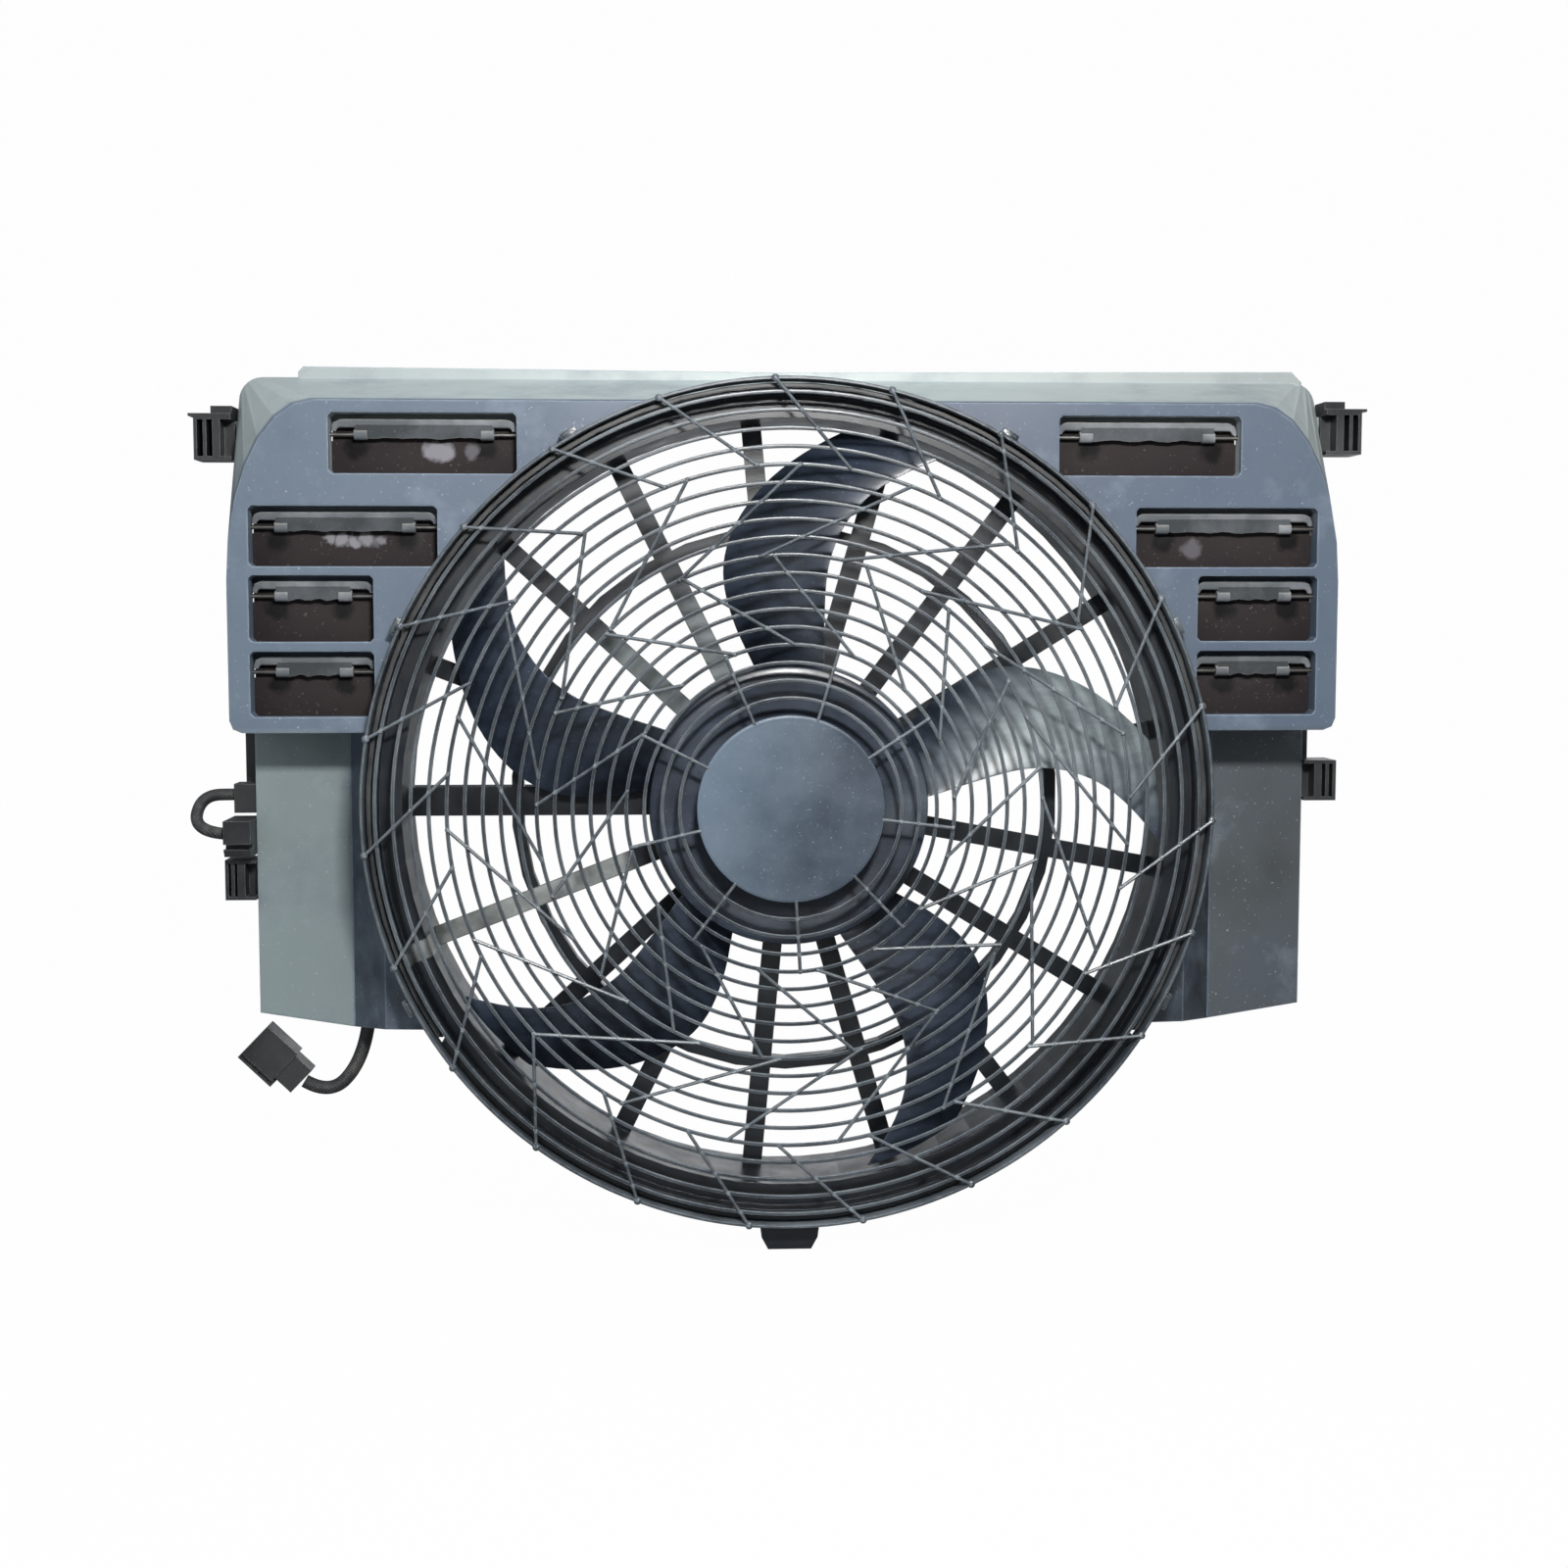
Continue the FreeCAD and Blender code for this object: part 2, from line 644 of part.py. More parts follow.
def screw_ears(body):
    """Six flat ears outside the throat, each with a screw hole."""
    rear = size("collar_rear") - size("seat_gap")
    sketch = new_sketch(body, "XZ_Plane", "ear_outlines", rear, "Sizes.collar_rear - Sizes.seat_gap")
    inner = size("throat") + 1.0
    outer = ear_radius() + 6.0
    half = size("ear_width") / 2.0
    for angle in SCREW_ANGLES:
        along = polar_point(1.0, angle)
        across = V(-along.z, 0, along.x)
        corners = [(inner, -half), (outer, -half), (outer, half), (inner, half)]
        points = [along * r + across * s for r, s in corners]
        draw(sketch, [(p.x, p.z) for p in points])
    pad(body, sketch, "ears", size("ear_thick"), "Sizes.ear_thick", backwards=True)
    holes = new_sketch(body, "XZ_Plane", "ear_holes", rear + 1.0, "Sizes.collar_rear - Sizes.seat_gap + 1")
    for angle in SCREW_ANGLES:
        place = polar_point(ear_radius(), angle)
        draw_circle(holes, (place.x, place.z), size("screw_r") + 0.3, "Sizes.screw_r + Sizes.seat_gap")
    pocket(body, holes, "ear_bores", size("ear_thick") + 2.0, "Sizes.ear_thick + 2")


def lower_flange(body):
    """The lip is thicker below the wings, where no collar goes round it, and carries the locating foot."""
    outside = size("collar_bore") + size("collar_wall")
    limit = math.degrees(math.asin(size("wing_low_inner") / outside)) + 1.0
    sketch = new_sketch(body, "XZ_Plane", "lower_flange_outline", size("lip_front"), "Sizes.lip_front")
    inner = size("lip_outer") - 1.0
    start = math.radians(180.0 + limit)
    end = math.radians(FULL_TURN - limit)
    far, near = [Part.ArcOfCircle(Part.Circle(V(), V(0, 0, 1), r), start, end) for r in (outside, inner)]
    first = Part.LineSegment(far.StartPoint, near.StartPoint)
    last = Part.LineSegment(far.EndPoint, near.EndPoint)
    draw_wire(sketch, [far, near, first, last])
    pad(body, sketch, "lower_flange", size("lip_front") - size("step_front") + 2.0, None, backwards=True)
    foot = new_sketch(body, "XZ_Plane", "foot_outline", size("box_depth"), "Sizes.box_depth")
    half = size("foot_width") / 2.0
    top = 2.0 - outside
    low = -size("foot_low")
    draw(foot, [
        (-half * 1.45, top), (half * 1.45, top), (half * 1.3, low + 7.0),
        (half, low), (-half, low), (-half * 1.3, low + 7.0),
    ])
    pad(body, foot, "locating_foot", size("foot_thick"), "Sizes.foot_thick", backwards=True)


def motor_holes(body):
    """Three holes in the motor ring for the motor's screws."""
    front = size("spider_front")
    sketch = new_sketch(body, "XZ_Plane", "motor_hole_circles", front + 1.0, "Sizes.spider_front + 1")
    radius = size("screw_r") + size("pin_gap")
    for angle in MOTOR_SCREW_ANGLES:
        place = polar_point(screw_ring(), angle)
        draw_circle(sketch, (place.x, place.z), radius, "Sizes.screw_r + Sizes.pin_gap")
    pocket(body, sketch, "motor_bores", 13.0)


# Guard

RING_COUNT = 18
# Zones of the guard from the rim inwards: outer ring, inner ring, ribs, outer angle, turn to the inner end
RIB_ZONES = [
    (18, 13, 23, 92.1, -12.1),
    (13, 8, 19, 107.4, 27.5),
    (8, 3, 17, 94.0, -26.5),
    (3, -1, 9, 33.2, 0.0),
]
RIM_RUNS = 46
RING_RUNS = {18: 32, 13: 26, 8: 22, 3: 18}


def guard_radius(number):
    """Radius of a ring, counted from the innermost; the rim and the disc end the count."""
    if number >= RING_COUNT:
        return size("rim_radius")
    if number < 0:
        return size("disc_radius") - 1.0
    return size("ring_first") + size("ring_pitch") * number


def faceted_ring(section, runs):
    """A ring of straight runs round the fan axis, from a closed section of radius and Y."""
    rows = []
    for i in range(runs):
        angle = FULL_TURN * i / runs
        rows.append([polar_point(radius, angle, y) for radius, y in section])
    faces = []
    for here, there in zip(rows, rows[1:] + rows[:1]):
        for j in range(len(section)):
            k = (j + 1) % len(section)
            faces.append(flat_face([here[j], there[j], there[k], here[k]]))
    return solid_of(faces)


def guard_rib(start, end):
    """A straight rib of triangular section, its base on the rings' front plane."""
    along = (end - start).normalize()
    across = V(-along.z, 0, along.x) * (size("rib_width") / 2.0)
    reach = along * 1.0
    crest = V(0, -size("rib_height"), 0)
    first = start - reach
    wire = Part.makePolygon([first + across, first - across, first + crest, first + across])
    return Part.Face(wire).extrude(end - start + reach * 2.0)


def guard():
    front = -size("guard_front")
    half = size("ring_width") / 2.0
    pieces = []
    for number in range(RING_COUNT):
        runs = RING_RUNS[min(zone for zone in RING_RUNS if zone >= number)]
        radius = guard_radius(number)
        section = [(radius + half, front), (radius - half, front), (radius, front + size("ring_depth"))]
        pieces.append(faceted_ring(section, runs))
    for outer, inner, count, angle, turn in RIB_ZONES:
        for i in range(count):
            place = angle + FULL_TURN * i / count
            start = polar_point(guard_radius(outer), place, front)
            end = polar_point(guard_radius(inner), place + turn, front)
            pieces.append(guard_rib(start, end))
    rim_in = size("rim_radius") - size("rim_wall") / 2.0
    rim_out = size("rim_radius") + size("rim_wall") / 2.0
    rim_rear = -size("box_depth") - size("seat_gap")
    rim = [(rim_in, front), (rim_out, front), (rim_out, rim_rear), (rim_in, rim_rear)]
    pieces.append(faceted_ring(rim, RIM_RUNS))
    disc = faceted_disc(size("disc_radius"), 40, front - 1.0, size("disc_thick"))
    pieces.append(disc)
    for angle in HOOK_ANGLES:
        pieces.append(snap_hook(angle, rim_rear))
    whole = pieces[0].multiFuse(pieces[1:])
    return coded("guard", whole.removeSplitter())


def faceted_disc(radius, runs, front, thick):
    points = [polar_point(radius, FULL_TURN * i / runs, front) for i in range(runs)]
    return Part.Face(Part.makePolygon(points + points[:1])).extrude(V(0, thick, 0))


def snap_hook(angle, rear):
    """A block outside the rim, which stands on the shroud's face."""
    inner = size("rim_radius")
    outer = inner + size("hook_width") + size("rim_wall") / 2.0
    half = size("hook_length") / 2.0
    along = polar_point(1.0, angle)
    across = V(-along.z, 0, along.x)
    front = 4.0 - size("guard_front")
    corners = [(inner, -half), (outer, -half), (outer, half), (inner, half)]
    points = [along * r + across * s + V(0, front, 0) for r, s in corners]
    return Part.Face(Part.makePolygon(points + points[:1])).extrude(V(0, rear - front, 0))


# Fan wheel

# Blade stations: distance from the axis, middle angle and width in degrees,
# and how far the leading edge and the trailing edge lie in front of the rear plane
BLADE_STATIONS = [
    (70.0, 88.5, 27.5, 60.0, 30.0),
    (104.0, 92.8, 27.0, 60.0, 29.0),
    (139.0, 92.8, 24.4, 59.5, 29.5),
    (176.0, 86.1, 19.9, 58.0, 31.0),
    (220.0, 71.9, 14.8, 56.0, 33.0),
]
BLADE_ROOT_THICK = 4.0
BLADE_TIP_THICK = 2.0
BLADE_CAMBER = 4.5
HUB_SIDES = 40


def blade_section(station, thickness):
    """One section of a blade, in the plane square to its radius, arched and thicker in its middle."""
    radius, angle, width, lead, trail = station
    half = radius * math.tan(math.radians(width / 2.0))
    out = polar_point(1.0, angle)
    right = V(out.z, 0, -out.x)
    start = out * radius + right * half + V(0, -lead, 0)
    chord = right * (-2.0 * half) + V(0, lead - trail, 0)
    normal = (right * (lead - trail) + V(0, -2.0 * half, 0)).normalize()

    def at(share, lift):
        """A point along the chord, on the arched middle line, lifted off it towards the front."""
        arch = BLADE_CAMBER * 4.0 * share * (1.0 - share)
        return start + chord * share + normal * (arch + lift)

    edge = thickness * 0.3
    belly = thickness * 0.5
    runs = ((0.0, edge), (0.33, belly), (0.67, belly), (1.0, edge))
    return [at(share, lift) for share, lift in runs] + [at(share, -lift) for share, lift in reversed(runs)]


def fan_wheel():
    tip = size("throat") - size("tip_gap")
    hub = size("hub_r")
    front = size("hub_front")
    wall = size("hub_wall")
    rear = front - size("hub_depth")
    sections = []
    thinning = (BLADE_ROOT_THICK - BLADE_TIP_THICK) / (len(BLADE_STATIONS) - 1)
    for number, station in enumerate(BLADE_STATIONS):
        sections.append(blade_section(station, BLADE_ROOT_THICK - thinning * number))
    blade = skin_through(sections)
    trim = tube_y(hub - wall / 2.0, tip, -front - 20.0, 0.0)
    blade = blade.common(trim)
    count = int(size("blade_count"))
    blades = []
    for i in range(count):
        copy = blade.copy()
        copy.rotate(V(0, 0, 0), V(0, 1, 0), -FULL_TURN * i / count)
        blades.append(copy)
    face = prism_rod(hub, HUB_SIDES, -front, wall - front)
    skirt = prism_ring(hub - wall, hub, HUB_SIDES, -front, -rear)
    boss = prism_rod(insert_r() + 4.0, 16, -front, -size("can_front") - 5.0)
    bore = prism_rod(insert_r() + size("pin_gap"), 12, -front - 1.0, 0.0, around=True)
    cup = face.fuse([skirt, boss]).cut(bore)
    return coded("fan_wheel", cup.fuse(blades))


def insert_r():
    return size("shaft_r") + 4.5


# Motor

CORE_FRONT = 34.0
CORE_REAR = 17.0
WINDING_REACH = 4.0
BEARING_LONG = 10.0
SLOTS = 12


def bearing_r():
    return size("shaft_r") + 5.0


def screw_ring():
    """Radius of the three motor screws."""
    return (size("motor_ring_bore") + size("motor_ring_outer")) / 2.0


def motor_housing():
    """The pressed steel can: its rear carries a bearing, its three ears lie on the motor ring."""
    body = new_body("motor_housing")
    can = size("can_r")
    rear = size("can_rear")
    can_front = size("can_front")
    can_outline = new_sketch(body, "XZ_Plane", "can_outline", can_front, "Sizes.can_front")
    draw(can_outline, regular(can, 32))
    pad(body, can_outline, "can", can_front - rear, "Sizes.can_front - Sizes.can_rear", backwards=True)
    ears_rear = size("spider_front") + size("seat_gap")
    ears = new_sketch(body, "XZ_Plane", "mounting_ears", ears_rear, "Sizes.spider_front + Sizes.seat_gap")
    for angle in MOTOR_SCREW_ANGLES:
        along = polar_point(1.0, angle)
        across = V(-along.z, 0, along.x)
        tip = screw_ring() + 6.0
        corners = [(can - 1.0, -9.0), (tip, -6.0), (tip, 6.0), (can - 1.0, 9.0)]
        points = [along * r + across * t for r, t in corners]
        draw(ears, [(point.x, point.z) for point in points])
    pad(body, ears, "ears", size("flange_thick"), "Sizes.flange_thick")
    room = new_sketch(body, "XZ_Plane", "inside", can_front, "Sizes.can_front")
    draw(room, regular(can - size("can_wall"), 32, around=True))
    hollow = "Sizes.can_front - Sizes.can_rear - Sizes.can_wall"
    pocket(body, room, "hollow", can_front - rear - size("can_wall"), hollow)
    seat = new_sketch(body, "XZ_Plane", "bearing_seat", can_front, "Sizes.can_front")
    draw(seat, regular(bearing_r() + size("run_gap"), 16, around=True))
    pocket(body, seat, "bearing_bore", can_front)
    holes = new_sketch(body, "XZ_Plane", "ear_holes", ears_rear + size("flange_thick") + 1.0)
    for angle in MOTOR_SCREW_ANGLES:
        place = polar_point(screw_ring(), angle)
        draw(holes, regular(size("screw_r") + size("seat_gap"), 10, place.x, place.z, True))
    pocket(body, holes, "ear_bores", size("flange_thick") + 2.0)
    return body


def motor_inside():
    """The pieces between the housing and the end cap, with few faces, because nothing shows them."""
    gap = size("run_gap")
    shaft = size("shaft_r")
    can = size("can_r")
    wall = size("can_wall")
    front = size("can_front")
    rear = size("can_rear")
    seat = size("seat_gap")
    inside = can - wall
    cap = prism_ring(bearing_r() + gap, can, 24, -front - wall, -front - gap)
    spigot = prism_ring(bearing_r() + gap, inside - seat, 24, -front - gap, 3.0 - front)
    front_end = -front - wall
    bearing = bearing_r()
    magnet_in = inside - 7.0
    core_r = magnet_in - size("air_gap")
    return [
        coded("motor_end_cap", cap.fuse(spigot)),
        coded("front_bearing", prism_ring(shaft + gap, bearing, 16, front_end, front_end + BEARING_LONG)),
        coded("rear_bearing", prism_ring(shaft + gap, bearing, 16, -rear - BEARING_LONG, -rear)),
        coded("magnets", magnets(magnet_in, inside - seat)),
        coded("armature_core", armature_core(core_r)),
        coded("armature_winding", armature_winding(core_r)),
        coded("commutator", commutator()),
        coded("brush_holder", prism_ring(12.0, inside - 1.5, 20, 3.1 - front, 4.3 - front)),
        coded("brushes", Part.makeCompound([brush(side) for side in SIDES.values()])),
    ]


def motor_shaft():
    body = new_body("motor_shaft")
    length = size("shaft_front") - size("can_rear") - 0.5
    base = V(0, -size("shaft_front"), 0)
    round_bar(body, "Additive", "shaft", size("shaft_r"), length, base, V(0, 1, 0), "Sizes.shaft_r")
    return body


def hub_insert():
    """The metal bush in the fan's hub, pressed on the shaft."""
    rear = -size("can_front") - 5.5
    return coded("hub_insert", prism_ring(size("shaft_r") + 0.02, insert_r(), 12, -size("hub_front"), rear))


def hub_nut():
    body = new_body("hub_nut")
    seat = size("hub_front") + size("pin_gap")
    hexagon = new_sketch(body, "XZ_Plane", "hexagon", seat, "Sizes.hub_front + Sizes.pin_gap")
    draw(hexagon, regular(size("shaft_r") + 4.0, 6))
    pad(body, hexagon, "nut", 4.0)
    thread = new_sketch(body, "XZ_Plane", "thread_outline", size("hub_front") + 6.0, "Sizes.hub_front + 6")
    draw(thread, regular(size("shaft_r") + 0.02, 12, around=True))
    pocket(body, thread, "thread", 8.0)
    return body


def magnets(inner, outer):
    """Four curved magnets of straight runs, seated on the housing's wall."""
    runs = 4
    spread = 64.0
    bend = math.cos(math.radians(spread / runs / 2.0))
    group = []
    for angle in (45.0, 135.0, 225.0, 315.0):
        steps = [angle - spread / 2.0 + spread * i / runs for i in range(runs + 1)]
        ring = [polar_point(outer, a, -CORE_FRONT) for a in steps]
        ring += [polar_point(inner / bend, a, -CORE_FRONT) for a in reversed(steps)]
        group.append(flat_face(ring).extrude(V(0, CORE_FRONT - CORE_REAR, 0)))
    return Part.makeCompound(group)


def armature_core(radius):
    """The stack of sheets on the shaft, with its slots."""
    pitch = FULL_TURN / SLOTS
    points = []
    for i in range(SLOTS):
        middle = pitch * i
        for turn, reach in ((-0.38, 1.0), (0.38, 1.0), (0.38, 0.62), (0.62, 0.62)):
            points.append(polar_point(radius * reach, middle + turn * pitch, -CORE_FRONT))
    core = flat_face(points).extrude(V(0, CORE_FRONT - CORE_REAR, 0))
    return core.cut(prism_rod(size("shaft_r") + 0.02, 12, -CORE_FRONT - 1.0, 0.0, around=True))


def armature_winding(core):
    """The copper that fills the slots and bulges at both ends of the core."""
    pitch = FULL_TURN / SLOTS
    front_end = prism_rod(core * 0.9, SLOTS, -CORE_FRONT - WINDING_REACH, -CORE_FRONT - 0.05)
    rear_end = prism_rod(core * 0.9, SLOTS, 0.05 - CORE_REAR, WINDING_REACH - CORE_REAR)
    bars = []
    for i in range(SLOTS):
        middle = pitch * (i + 0.5)
        shape = ((core * 0.64, -3.0), (core * 0.86, -2.5), (core * 0.86, 2.5), (core * 0.64, 3.0))
        points = [polar_point(reach, middle + turn, -CORE_FRONT - 0.5) for reach, turn in shape]
        bars.append(flat_face(points).extrude(V(0, CORE_FRONT - CORE_REAR + 1.0, 0)))
    whole = front_end.fuse([rear_end] + bars)
    return whole.cut(prism_rod(size("shaft_r") + 2.0, SLOTS, -CORE_FRONT - 10.0, 0.0))


def commutator():
    front = -size("can_front") + BEARING_LONG - size("can_wall") + 0.3
    rear = -CORE_FRONT - WINDING_REACH - 0.3
    return prism_ring(size("shaft_r") + 0.02, COMMUTATOR_R, 16, front, rear)


COMMUTATOR_R = 11.0


def brush(side):
    """One carbon brush beside the commutator, standing on the brush holder."""
    near = COMMUTATOR_R + size("seat_gap")
    xs = sorted((side * near, side * (near + 9.0)))
    front = 4.6 - size("can_front")
    return Part.makeBox(xs[1] - xs[0], 5.4, 6.0, V(xs[0], front, -3.0))


def screws(name, radius, angles, seat, length, direction):
    """A group of equal hexagon screws parallel to the fan axis, their heads on the seat."""
    group = []
    for angle in angles:
        place = polar_point(radius, angle)
        head = (-seat, -seat + direction * size("screw_head_tall"))
        shank = (-seat + direction * 0.5, -seat - direction * length)
        bolt = prism_rod(size("screw_head_r"), 6, min(head), max(head), place.x, place.z)
        group.append(bolt.fuse(prism_rod(size("screw_r"), 10, min(shank), max(shank), place.x, place.z)))
    return coded(name, Part.makeCompound(group))


def motor():
    ears_front = size("spider_front") + size("seat_gap") + size("flange_thick")
    ear_rear = size("collar_rear") - size("seat_gap") - size("ear_thick")
    return [motor_housing()] + motor_inside() + [
        motor_shaft(),
        hub_insert(),
        hub_nut(),
        screws("motor_screws", screw_ring(), MOTOR_SCREW_ANGLES, ears_front, 12.0, -1.0),
        screws("carrier_screws", ear_radius(), SCREW_ANGLES, ear_rear, 14.0, 1.0),
    ]


# Flaps

def flap(side_name, window):
    """One ram-air flap: plate with a lip along its top and two knuckles in front."""
    side = SIDES[side_name]
    inner, outer, low, high = WINDOWS[window]
    gap = size("flap_side_gap")
    body = new_body("flap_%s_%s" % (side_name, window))
    axis_z = pin_z(window)
    axis_y = -size("pin_depth")
    front = size("seat_gap") - size("frame_rear")
    rear = front + size("flap_plate")
    width = outer - inner - 2.0 * gap
    section = new_sketch(body, "YZ_Plane", "section", side * (inner + gap))
    draw(section, [
        (front, low - size("flap_lap")),
        (rear, low - size("flap_lap")),
        (rear, axis_z + 6.5),
        (front - 4.0, axis_z + 8.0),
        (front - 5.5, axis_z + 6.0),
        (front - 5.0, axis_z + 4.2),
        (front - 1.0, axis_z + 4.2),
        (front - 1.0, axis_z - 7.0),
        (front, axis_z - 7.5),
    ])
    pad(body, section, "plate", width, None, backwards=(side < 0))
    long = size("knuckle_length")
    reach = size("knuckle_r")
    flat = reach / 2.0
    for name, start in (("a", inner + size("knuckle_inset")), ("b", outer - size("knuckle_inset") - long)):
        knuckle = new_sketch(body, "YZ_Plane", "knuckle_outline_" + name, side * start)
        draw(knuckle, [
            (front, axis_z - reach), (front, axis_z + reach), (axis_y - flat, axis_z + reach),
            (axis_y - reach, axis_z + flat), (axis_y - reach, axis_z - flat),
            (axis_y - flat, axis_z - reach),
        ])
        pad(body, knuckle, "knuckle_" + name, long, "Sizes.knuckle_length", backwards=(side < 0))
    bore = new_sketch(body, "YZ_Plane", "bore_outline", side * inner)
    draw(bore, regular(size("pin_r") + size("pin_gap"), 8, axis_y, axis_z, True))
    pocket(body, bore, "bore", outer - inner, None, backwards=(side > 0))
    return body


def hinge_pins():
    """The steel wires that the flaps turn on, held in their frames' side walls."""
    pins = []
    wall = size("frame_wall")
    for side in SIDES.values():
        for window, (inner, outer, _, _) in WINDOWS.items():
            xs = sorted((side * (inner - wall), side * (outer + wall)))
            pins.append(prism_x(regular(size("pin_r"), 10, -size("pin_depth"), pin_z(window)), *xs))
    return coded("hinge_pins", Part.makeCompound(pins))


# Mounting clips

def mounting_clip(name, side, low, high, edge, far):
    """A moulded clip: two cells open to the front, a slot that takes the shroud's tab, a flange on top."""
    body = new_body("clip_" + name)
    near = edge + 0.4
    front = -size("clip_depth")
    wall = size("clip_wall")

    def span(start, end):
        return tuple(sorted((side * start, side * end)))

    xs = span(near, far)
    block(body, "Additive", "case", (xs[0], front, low), (xs[1], 0.0, high))
    tab = size("tab_front")
    thick = size("lip_thick")
    first = near + size("tab_length") + 1.5
    middle = (first + wall + far - wall) / 2.0 - wall / 2.0
    cells = ((first + wall, middle), (middle + wall, far - wall))
    for number, (start, end) in enumerate(cells):
        xs = span(start, end)
        near_corner = (xs[0], front - 1.0, low + wall)
        block(body, "Subtractive", "cell_%d" % number, near_corner, (xs[1], -wall, high - wall))
    xs = span(near - 1.0, near + size("tab_length") + 0.3)
    near_corner = (xs[0], -tab - 0.15, low + wall - 0.3)
    block(body, "Subtractive", "slot", near_corner, (xs[1], thick - tab + 0.15, high - wall + 0.3))
    xs = span(near, near + size("tab_length") - 1.0)
    near_corner = (xs[0], front - 1.0, low + wall)
    block(body, "Subtractive", "front_pocket", near_corner, (xs[1], -tab - 4.0, high - wall))
    if name.startswith("upper"):
        xs = span(near, far + 3.0)
        block(body, "Additive", "top_flange", (xs[0], front, high - 0.1), (xs[1], 0.0, high + 1.5))
        xs = span(near, near + 12.0)
        block(body, "Additive", "tongue", (xs[0], front + 4.0, high + 1.0), (xs[1], 0.0, high + 6.0))
    elif name == "lower_right":
        xs = span(near, near + 7.0)
        block(body, "Additive", "strip", (xs[0], -5.0, high - 1.0), (xs[1], -1.0, size("strip_top")))
    return body


# Cables, with their points chosen by hand along the route

MOTOR_ROUTE = [(-50.8, -4.9, 0.0), (-145.0, -4.5, 0.7), (-239.5, -4.6, 0.0)]
SIDE_ROUTE = [
    (-256.3, -5.2, 3.0), (-288.0, -7.0, 3.8), (-320.0, -9.0, 3.8),
    (-341.5, -15.0, 4.0), (-343.5, -30.0, -15.5), (-325.9, -32.0, -17.0),
]
PIGTAIL_ROUTE = [
    (-247.5, -5.4, -7.3), (-244.5, -6.0, -66.0), (-245.5, -6.5, -122.0),
    (-252.5, -10.0, -157.0), (-270.5, -13.0, -175.5), (-285.0, -14.0, -166.5),
]


def route_wire(name, points):
    """Straight runs joined by tangent arcs, each arc as large as its two runs allow."""
    vectors = [V(*p) for p in points]
    edges = []
    start = vectors[0]
    radii = []
    for before, here, after in zip(vectors, vectors[1:], vectors[2:]):
        run_in = here - before
        run_out = after - here
        turn = run_in.getAngle(run_out)
        reach = 0.45 * min(run_in.Length, run_out.Length)
        radii.append(reach / math.tan(turn / 2.0))
        first = here - run_in.normalize() * reach
        last = here + run_out.normalize() * reach
        bisector = (first + last) * 0.5 - here
        sag = radii[-1] * (1.0 / math.cos(turn / 2.0) - 1.0)
        middle = here + bisector.normalize() * sag
        edges.append(Part.LineSegment(start, first).toShape())
        edges.append(Part.Arc(first, middle, last).toShape())
        start = last
    edges.append(Part.LineSegment(start, vectors[-1]).toShape())
    wire = Part.Wire(edges)
    print("%s: length %.1f mm, radii %s" % (name, wire.Length, [round(r, 1) for r in radii]))
    return wire


def cable(name, points, diameter):
    """A tube of eight sides along a route, its section as large as the round cable's."""
    wire = route_wire(name, points)
    start = V(*points[0])
    along = (V(*points[1]) - start).normalize()
    across = along.cross(V(0, 0, 1) if abs(along.z) < 0.7 else V(1, 0, 0)).normalize()
    other = along.cross(across)
    area = math.pi * diameter ** 2 / 4.0
    reach = math.sqrt(area / (4.0 * math.sin(math.pi / 4.0)))
    corners = []
    for i in range(8):
        turn = math.pi * (2 * i + 1) / 8.0
        corners.append(start + across * (reach * math.cos(turn)) + other * (reach * math.sin(turn)))
    ring = Part.makePolygon(corners + corners[:1])
    tube = wire.makePipeShell([ring], True, False)
    print("%s: volume over section times length %.4f" % (name, tube.Volume / (wire.Length * area)))
    return coded(name, tube)


SLEEVE_X = (-256.0, -239.8)


def branch_sleeve():
    """The moulded sleeve behind the left wing, where the motor cable splits in two."""
    low, high = SLEEVE_X
    outline = [
        (low + 3.0, -7.0), (high - 3.0, -7.0), (high, -4.0), (high, 5.0),
        (high - 3.0, 8.0), (low + 3.0, 8.0), (low, 5.0), (low, -4.0),
    ]
    return coded("branch_sleeve", prism_y(outline, -10.5, -0.5))


def cable_saddle():
    """The holder on the wing's side that the loop of the side cable comes out of."""
    wing = -size("wing_half") - size("seat_gap")
    hold = size("cable_d") / 2.0 + 0.3
    outer = prism_x(rectangle(-17.0, -6.5, -0.5, 10.5), wing - 13.0, wing)
    middle = SIDE_ROUTE[2][2]
    inner = prism_x(rectangle(-14.2, middle - hold, 1.0, middle + hold), wing - 14.0, wing + 1.0)
    strip = prism_x(rectangle(-5.0, 10.0, -1.0, size("strip_top")), wing - 8.0, wing)
    return coded("cable_saddle", outer.fuse(strip).cut(inner))


def side_plug():
    """The block on the wing's side that the side cable ends in."""
    wing = -size("wing_half") - size("seat_gap")
    end = -size("wing_half") - size("plug_long")
    body = prism_x([(-37.5, -25.0), (-34.0, -30.5), (-2.0, -30.5), (-2.0, -9.5), (-37.5, -9.5)], end, wing)
    groove = prism_x(rectangle(-39.0, -26.0, -30.0, -23.0), end - 1.0, wing + 1.0)
    return coded("side_plug", body.cut(groove))


CONNECTOR_REAR = V(-285.2, -14.0, -166.3)
CONNECTOR_TURN = 135.8


def in_connector_frame(shape):
    """Move a shape built along +X, with its rear at the origin, to the end of the pigtail."""
    turn = FreeCAD.Rotation(V(0, 1, 0), -CONNECTOR_TURN)
    return shape.transformed(FreeCAD.Placement(CONNECTOR_REAR, turn).toMatrix(), copy=True)


